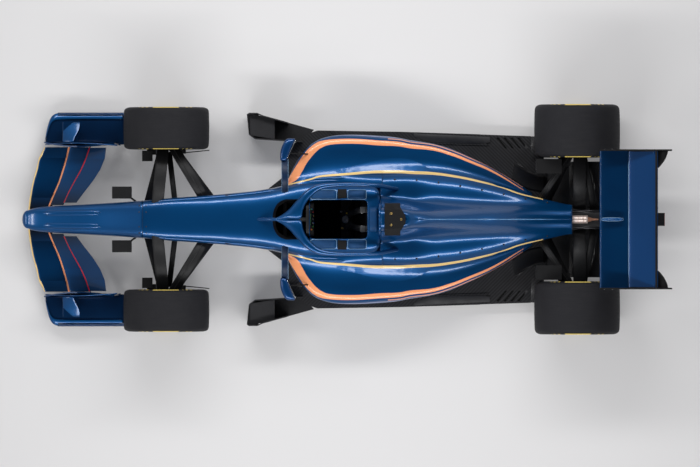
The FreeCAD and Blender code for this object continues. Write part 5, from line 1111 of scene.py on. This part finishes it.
# Exhaust: an open pipe with a rolled rim, the cone in it and welded bands.
PIPE_PROFILE = [
    (0.0290, 0.020), (0.0290, 0.164), (0.0310, 0.168), (0.0340, 0.165), (EXHAUST_R, 0.150),
    (EXHAUST_R, 0.004), (0.0300, 0.000)]
CONE_PROFILE = [
    (0.020, 0.030), (0.0255, 0.120), (0.0245, 0.160), (0.0170, 0.190), (0.0105, 0.206), (0.0085, 0.225),
    (0.0065, 0.255), (0.002, 0.257)]
pipe_rings = [round_ring((EXHAUST_X + along, 0, EXHAUST_Z), Z_AXIS, Y_AXIS, radius, 48)
              for radius, along in PIPE_PROFILE]
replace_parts(skins("tail_pipe", [pipe_rings], EXHAUST), "exhaust")
cone_rings = turned(CONE_PROFILE, (EXHAUST_X, 0.0, EXHAUST_Z), (1, 0, 0), 40)
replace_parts(skins("tail_cone", [cone_rings], COPPER), "exhaust")
for i, x in enumerate((1.872, 1.915, 1.958)):
    bead = round_ring((x, 0, EXHAUST_Z), Z_AXIS, Y_AXIS, EXHAUST_R, 40)
    ring_tube("exhaust_weld_%d" % i, bead, 0.0013, COPPER, sides=6)

# Rear wing: a dark gurney and a pale bead along the flap's edge, a painted highlight, and an actuator pod on
# the main plane whose pale outline is a painted highlight.
block("flap_gurney", (2.5400, 2.5560), (-0.555, 0.555), (0.9225, 0.9385), 0.0012, BLACK, "dark_plastic",
      "flap_rear")
tube("flap_edge_highlight", [(2.3225, y, 0.8385) for y in (-0.553, 0.0, 0.553)], 0.0022, PIPING_AND_EDGE_HIGHLIGHT,
     "flap_rear", 8)
ACTUATOR = [
    (0.002, 0.0), (0.009, 0.002), (0.0125, 0.008), (0.0135, 0.020), (0.0135, 0.156), (0.0125, 0.168),
    (0.009, 0.174), (0.002, 0.176)]
skins("actuator_pod", [turned(ACTUATOR, (2.102, 0.0, 0.8475), (1, 0, 0.02), 28)], PLAIN_PAINT)
# A pale bead round the actuator pod: a painted highlight on its edge.
outline = [(2.190 + 0.088 * cosine, 0.0145 * signed_power(sine, 0.35), 0.854) for cosine, sine in circle(48)]
ring_tube("actuator_edge_highlight", outline, 0.0018, PIPING_AND_EDGE_HIGHLIGHT, sides=6)
# A web closes the corner between each rear end plate and the flap's tail.
web_rings = []
for i in range(9):
    t = i / 8
    y, z, tail = 0.574 - 0.150 * t, 0.812 - 0.100 * t * t, 2.650 - 0.010 * t - 0.066 * t * t
    web_rings.append([(x, y, up) for x, up, _ in rectangle(2.560, tail, z, z - 0.004)])
pair("endplate_web", [web_rings], BLACK)

# Floor: a curved fence ahead of each rear tyre and a swept ramp from it to the body's tail.
FENCE = [(1.400, 0.470), (1.427, 0.455), (1.470, 0.428), (1.518, 0.398), (1.580, 0.374), (1.640, 0.362)]
fence_rings = []
fence_line = smooth_line(FENCE, 5)
for i, (x, y) in enumerate(fence_line):
    high = 0.092 + 0.050 * math.sin(math.pi * min(1.0, 0.12 + 0.9 * i / (len(fence_line) - 1)))
    fence_rings.append([(x, side_y, z) for side_y, z, _ in rectangle(y - 0.003, y + 0.003, 0.074, high)])
pair("floor_fence", [fence_rings], COVER_BLACK)
KICK_OUTER = [
    (1.395, 0.474, 0.090), (1.430, 0.452, 0.118), (1.475, 0.424, 0.135), (1.520, 0.398, 0.145),
    (1.580, 0.374, 0.150), (1.645, 0.360, 0.150)]
KICK_INNER = [
    (1.372, 0.330, 0.086), (1.410, 0.300, 0.086), (1.455, 0.272, 0.086), (1.510, 0.250, 0.086),
    (1.570, 0.235, 0.086), (1.640, 0.226, 0.086)]
kick_rings = []
for (ax, ay, az), (bx, by, bz) in zip(smooth_line(KICK_OUTER, 4), smooth_line(KICK_INNER, 4)):
    ramp = [(lerp(ax, bx, k / 8), lerp(ay, by, k / 8), lerp(bz, az, (1 - k / 8) ** 2)) for k in range(9)]
    kick_rings.append(ramp + [(bx, by, 0.078), (ax, ay, 0.078)])
pair("floor_kick", [kick_rings], ARM_BLACK)

# Front end plates: a rolled outer edge, an upright plate and a canard on each.
ROLL_LINE = [
    (-2.505, 0.655), (-2.490, 0.740), (-2.462, 0.832), (-2.428, 0.872), (-2.380, 0.882), (-2.200, 0.884),
    (-1.980, 0.884), (-1.856, 0.884)]
roll_rings = []
for i, (x, y) in enumerate(smooth_line(ROLL_LINE, 5)):
    inner = y - min(0.052, 0.014 + 0.006 * i)
    roll = [(x, lerp(inner, y, k / 9), 0.0975 - 0.0150 * (k / 9) ** 2) for k in range(10)]
    roll_rings.append(roll + [(x, y - 0.001, 0.0700), (x, inner, 0.0700)])
pair("endplate_roll", [roll_rings], PLAIN_PAINT)
canard_rings = []
for i in range(13):
    t = i / 12
    trail = -2.262 + 0.050 * ease(1.25 * t)
    ring = []
    for cosine, sine in circle(20):
        along = 0.5 + 0.5 * cosine
        ring.append((lerp(-2.353, trail, along), lerp(0.640, 0.806, t),
                     0.232 + 0.034 * along - 0.050 * t + 0.0035 * sine))
    canard_rings.append(ring)
pair("endplate_canard", [canard_rings], PLAIN_PAINT)
UPRIGHT_LINE = [
    (-2.500, 0.622, 0.150), (-2.420, 0.626, 0.230), (-2.300, 0.630, 0.310), (-2.150, 0.628, 0.352),
    (-2.000, 0.620, 0.360), (-1.900, 0.613, 0.350)]
upright_rings = [[(x, y - 0.004, 0.080), (x, y + 0.004, 0.080), (x, y + 0.006, z), (x, y + 0.003, z + 0.006),
                  (x, y - 0.001, z + 0.006), (x, y - 0.004, z)] for x, y, z in smooth_line(UPRIGHT_LINE, 5)]
pair("endplate_upright", [upright_rings], PLAIN_PAINT)

# Plain pieces that come in pairs.
# Tubes: name, line, radius, material, slot, sides.
TUBE_PAIRS = [
    # The pale beads on the mirror stalks' front and rear edges are painted edge highlights.
    ("mirror_stalk_edge_highlight_front", [(-0.5335, 0.215, 0.6265), (-0.5335, 0.495, 0.6735)], 0.0016,
     PIPING_AND_EDGE_HIGHLIGHT, "body_paint", 6),
    ("mirror_stalk_edge_highlight_rear", [(-0.4815, 0.215, 0.6265), (-0.4815, 0.495, 0.6735)], 0.0016,
     PIPING_AND_EDGE_HIGHLIGHT, "body_paint", 6),
    ("mirror_stay", [(-0.459, 0.545, 0.655), (-0.385, 0.542, 0.600), (-0.318, 0.540, 0.535)],
     (0.005, 0.006, 0.006), BLACK, "dark_plastic", 12),
    ("drive_shaft", [(1.909, 0.060, 0.331), (1.909, 0.589, 0.355)], 0.017, DARK_ALLOY, "cast_metal", 20),
    ("brake_line_front", [(-1.130, 0.11, 0.5615), (-1.440, 0.600, 0.5185)], 0.0035, GRIP, "dark_plastic", 8),
    ("brake_line_rear", [(1.560, 0.12, 0.402), (1.868, 0.560, 0.481)], 0.0035, GRIP, "dark_plastic", 8),
    ("wing_stay", [(1.868, 0.074, 0.440), (2.100, 0.074, 0.520)], 0.0042, DARK_ALLOY, "cast_metal", 10),
    ("wing_stay_low", [(1.868, 0.058, 0.430), (2.090, 0.058, 0.470)], 0.0034, DARK_ALLOY, "cast_metal", 10),
    ("scoop_lip", [(1.5665, 0.388, 0.5065), (1.5665, 0.484, 0.5065)], 0.0022, DARK_ALLOY, "carbon_fibre", 8),
    ("nose_pod_stay", smooth_line([(-1.790, 0.185, 0.432), (-1.765, 0.165, 0.436), (-1.740, 0.145, 0.440),
                                   (-1.720, 0.110, 0.445)], 4), 0.008, BLACK, "dark_plastic", 12),
]
# Blocks: name, ends along X, Y and Z, bevel, material, slot.
BLOCK_PAIRS = [
    # The pad gap is a black block between the front and rear pads: painted shade in the notch between them.
    ("pad_gap", (-0.074, 0.002), (0.162, 0.250), (0.630, 0.6525), 0.003, BLACK, "dark_plastic"),
    ("belt_adjuster", (0.118, 0.136), (0.050, 0.110), (0.500, 0.522), 0.004, GREY_ALLOY, "cast_metal"),
    ("shoulder_pad", (0.112, 0.160), (0.053, 0.107), (0.520, 0.562), 0.008, CLOTH, "padding_blue"),
    ("nose_pod_housing", (-1.939, -1.776), (0.172, 0.272), (0.412, 0.464), 0.006, BLACK, "dark_plastic"),
    # The slot sheet is a black slab under the floor's slots: painted shade where they would show the ground
    # below.
    ("slot_insert", (1.150, 1.500), (0.560, 0.690), (0.0625, 0.0665), 0.001, BLACK, "carbon_fibre")]
# Flat sheets: name, outline, low face, thickness, bevel, material, slot.
SHEET_PAIRS = [
    # The floor band is a thin lighter-grey sheet: a painted reflection along the floor's edge.
    ("floor_band", [(0.560, 0.716), (0.700, 0.708), (1.190, 0.684), (1.190, 0.640), (1.100, 0.628),
                    (0.700, 0.640), (0.560, 0.690)], 0.0915, 0.0025, 0.001, FLOOR_REFLECTION_GREY, "carbon_fibre"),
    ("floor_corner", [(1.480, 0.684), (1.540, 0.690), (1.612, 0.690), (1.622, 0.640), (1.640, 0.500),
                      (1.640, 0.420), (1.480, 0.420)], 0.064, 0.017, 0.002, FLOOR_WEAVE, "carbon_fibre"),
    ("endplate_deck", [(-2.500, 0.640), (-2.488, 0.740), (-2.460, 0.830), (-2.428, 0.868), (-2.380, 0.878),
                       (-1.858, 0.878), (-1.858, 0.640)], 0.074, 0.009, 0.002, ENDPLATE_PAINT, "wing_paint"),
]
# Turned pieces: name, profile, centre, axis, steps, material, slot.
BALL_JOINT = [
    (0.010, -0.022), (0.019, -0.020), (0.023, -0.010), (0.024, 0.0), (0.023, 0.010), (0.019, 0.020),
    (0.010, 0.022)]
GAITER_FOLDS = [(0.043 - 0.0021 * i - 0.006 * (i % 2), 0.006 + 0.008 * i) for i in range(9)]
TURNED_PAIRS = [
    ("mirror_stay_knob", [(0.003, -0.026), (0.013, -0.018), (0.018, 0.0), (0.013, 0.018), (0.003, 0.026)],
     (-0.385, 0.542, 0.600), (0.80, 0.0, -0.60), 24, BLACK, "dark_plastic"),
    ("front_ball_joint_upper", BALL_JOINT, (-1.491, 0.620, 0.505), (0, 0, 1), 24, DARK_ALLOY, "cast_metal"),
    ("front_ball_joint_lower", BALL_JOINT, (-1.491, 0.620, 0.218), (0, 0, 1), 24, DARK_ALLOY, "cast_metal"),
    ("shaft_gaiter", [(0.020, 0.0)] + GAITER_FOLDS + [(0.018, 0.082)],
     (1.909, 0.152, 0.3352), (0, 0.999, 0.045), 24, GRIP, "dark_plastic"),
    ("pod_lens", [(0.014, -0.020), (0.0145, -0.002), (0.012, 0.002), (0.008, 0.0005), (0.003, 0.003)],
     (-1.9345, 0.228, 0.438), (-1, 0, 0), 28, LENS, "dark_plastic"),
]
# Studs and fasteners: places along X and Y, or X and Z on the end plates.
ENDPLATE_STUDS = [
    (2.125, 0.790), (2.190, 0.808), (2.255, 0.815), (2.300, 0.815), (2.205, 0.430), (2.290, 0.430)]
COVER_FASTENERS = [
    (0.40, 0.330), (0.58, 0.325), (0.76, 0.308), (0.94, 0.278), (1.12, 0.245), (1.30, 0.210),
    (1.48, 0.172), (1.66, 0.138)]
NOSE_FASTENERS = [(-1.655, 0.060), (-1.655, 0.112), (-1.712, 0.060), (-1.712, 0.112)]


def on_top(names, places, sign):
    """Spots just above some nodes at (x, y) places."""
    return [(x, sign * y, top_of(names, x, sign * y, 0.5) + 0.0004) for x, y in places]


def radiator(bm, sign):
    """Upright fins and five cross bars behind a side inlet."""
    for i in range(42):
        y = sign * (0.356 + 0.240 * i / 41)
        fin = rectangle(y - 0.0009, y + 0.0009, 0.402, 0.501)
        slab(bm, [(-0.090, across, up) for across, up, _ in fin], (0.03, 0, 0))
    for z in (0.418, 0.434, 0.450, 0.466, 0.482):
        bar = rectangle(sign * 0.352, sign * 0.600, z - 0.0016, z + 0.0016)
        slab(bm, [(-0.086, across, up) for across, up, _ in bar], (0.02, 0, 0))


for side, sign in SIDES:
    for name, line, radius, material, slot, sides in TUBE_PAIRS:
        tube("%s_%s" % (name, side), mirrored(line, sign), radius, material, "root", sides)
    for name, x, y, *rest in BLOCK_PAIRS:
        thing = block("%s_%s" % (name, side), x, sorted((sign * y[0], sign * y[1])), *rest)
        if name == "nose_pod_housing":
            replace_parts(thing, "nose_pods")
    for name, outline, low, thick, *rest in SHEET_PAIRS:
        sheet("%s_%s" % (name, side), [(x, sign * y, low) for x, y in outline], (0, 0, thick), *rest)
    for name, profile, (x, y, z), axis, steps, material, slot in TURNED_PAIRS:
        rings = turned(profile, (x, sign * y, z), (axis[0], sign * axis[1], axis[2]), steps)
        skins("%s_%s" % (name, side), [rings], material)
    studs("endplate_studs_" + side, [(x, sign * 0.5762, z) for x, z in ENDPLATE_STUDS], 0.0065, 0.0022,
          GREY_ALLOY, axis=(0, sign, 0))
    spots = on_top(("engine_cover",), COVER_FASTENERS, sign)
    studs("cover_fasteners_" + side, spots, 0.0075, 0.0018, DARK_ALLOY)
    spots = on_top(("chassis_tub", "nose_cone"), NOSE_FASTENERS, sign)
    studs("nose_fasteners_" + side, spots, 0.006, 0.0016, DARK_ALLOY)
    piece("radiator_core_" + side, lambda bm: radiator(bm, sign), DARK_ALLOY, smooth=False)

# Steering wheel: grips, display, buttons and shift lights on its tilted face.
TILT = math.radians(12)
FACE = Vector((math.cos(TILT), 0, math.sin(TILT)))
FACE_UP = Vector((-math.sin(TILT), 0, math.cos(TILT)))
HUB = Vector((-0.301, 0.0, 0.520)) + FACE * 0.0172


def on_wheel(across, up, lift=0.0):
    return tuple(HUB + Vector((0, across, 0)) + FACE_UP * up + FACE * lift)


def wheel_studs(name, spots, radius, height, material, steps):
    places = [on_wheel(*spot) for spot in spots]
    studs(name, places, radius, height, material, "helm", FACE, steps)


corners = [on_wheel(across, up) for across, up, _ in rectangle(-0.052, 0.052, -0.004, 0.054)]
sheet("wheel_display", rounded(corners, 0.006), FACE * 0.006, 0.0015, SCREEN, "dark_plastic", "helm")
BUTTON_SPOTS = [
    (-0.085, 0.045, RED_BUTTON), (0.085, 0.045, GREEN_BUTTON), (-0.085, 0.015, AMBER_BUTTON),
    (0.085, 0.015, BLUE_BUTTON), (-0.060, -0.030, GREEN_BUTTON), (0.060, -0.030, RED_BUTTON),
    (-0.030, -0.052, BLUE_BUTTON), (0.030, -0.052, AMBER_BUTTON)]
for i, (across, up, material) in enumerate(BUTTON_SPOTS):
    wheel_studs("wheel_button_%d" % i, [(across, up)], 0.0070, 0.0050, material, 18)
lights = [(-0.042 + 0.012 * i, 0.064, 0.0005) for i in range(8)]
wheel_studs("shift_lights", lights, 0.0034, 0.0030, GREEN_BUTTON, 12)
for i, across in enumerate((-0.034, 0.0, 0.034)):
    wheel_studs("wheel_dial_%d" % i, [(across, -0.024)], 0.0095, 0.0075, GREY_ALLOY, 12)
GRIP_LINE = [
    (0.112, -0.066, -0.012), (0.124, -0.035, -0.006), (0.127, 0.005, -0.004), (0.122, 0.042, -0.006),
    (0.108, 0.064, -0.012)]
for side, sign in SIDES:
    tube("wheel_grip_" + side, [on_wheel(sign * across, up, lift) for across, up, lift in GRIP_LINE],
         [0.010, 0.0155, 0.0165, 0.0150, 0.010], GRIP, "helm", 16)

# Small controls beside the seat.
block("seat_switch_a", (-0.055, -0.027), (0.057, 0.073), (0.222, 0.236), 0.003, GREY_ALLOY, "dark_plastic")
studs("seat_switch_b", [(0.003, 0.051, 0.300)], 0.0085, 0.006, AMBER_BUTTON)
block("seat_switch_c", (-0.046, -0.018), (-0.081, -0.063), (0.222, 0.236), 0.003, BRASS, "dark_plastic")


# The studio: a pale floor, lighter round the car as a painted pool of light and glowing faintly as a painted
# fill for the shadows, a long soft lamp on each side and a small one ahead.
def studio_floor():
    mesh = bpy.data.meshes.new("studio_floor")
    bm = bmesh.new()
    bmesh.ops.create_grid(bm, x_segments=1, y_segments=1, size=30)
    bm.to_mesh(mesh)
    bm.free()
    g = Graph("studio_floor")
    away = g.length(g.times(g.minus(g.x, 0.2), 0.8), g.minus(g.y, 0.3))
    # Painted pool of light: the floor is lighter round the car and darker further out.
    g.finish(g.mix(g.span(away, 0.8, 3.6), (0.552, 0.546, 0.548), (0.474, 0.468, 0.469)), 0.9)
    # Painted fill: the floor glows faintly, which lifts the shadows under the car.
    g.shader.inputs["Emission Color"].default_value = (1.0, 0.99, 0.995, 1.0)
    g.shader.inputs["Emission Strength"].default_value = 0.15
    mesh.materials.append(g.material)
    linked("studio_floor", mesh)


def lamp(name, place, aim, long, wide, power):
    data = bpy.data.lights.new(name, "AREA")
    data.shape = "RECTANGLE"
    data.size = long
    data.size_y = wide
    data.energy = power
    thing = linked(name, data)
    thing.location = place
    thing.rotation_euler = (Vector(aim) - Vector(place)).to_track_quat("-Z", "Y").to_euler()


def world():
    """A pale room that is darker overhead than round about."""
    room = bpy.data.worlds.new("studio_world")
    bpy.context.scene.world = room
    room.use_nodes = True
    nodes, links = room.node_tree.nodes, room.node_tree.links
    place = nodes.new("ShaderNodeTexCoord")
    split = nodes.new("ShaderNodeSeparateXYZ")
    level = nodes.new("ShaderNodeMapRange")
    links.new(place.outputs["Generated"], split.inputs[0])
    links.new(split.outputs["Z"], level.inputs["Value"])
    for name, number in (("From Min", 0.55), ("From Max", 0.92), ("To Min", 0.50), ("To Max", 0.05)):
        level.inputs[name].default_value = number
    background = nodes["Background"]
    background.inputs["Color"].default_value = (0.93, 0.95, 1.0, 1)
    links.new(level.outputs[0], background.inputs["Strength"])


studio_floor()
lamp("lamp_right", (0.0, 4.4, 5.0), (0.0, 0.0, 0.3), 9.0, 0.8, 330)
lamp("lamp_ahead", (-6.9, 0.0, 5.2), (-2.2, 0.0, 0.2), 2.6, 0.5, 70)
lamp("lamp_left", (0.0, -4.4, 5.0), (0.0, 0.0, 0.3), 9.0, 0.8, 330)
world()

camera_data = bpy.data.cameras.new("camera")
camera_data.lens = 556.9
camera_data.sensor_width = 36.0
camera_data.clip_end = 400.0
camera = linked("camera", camera_data)
camera.location = (0.029, -0.1166, 90.0)
camera.rotation_euler = (0.0, 0.0, 0.0)
bpy.context.scene.camera = camera
bpy.context.scene.view_settings.view_transform = "Standard"

bpy.context.view_layer.update()
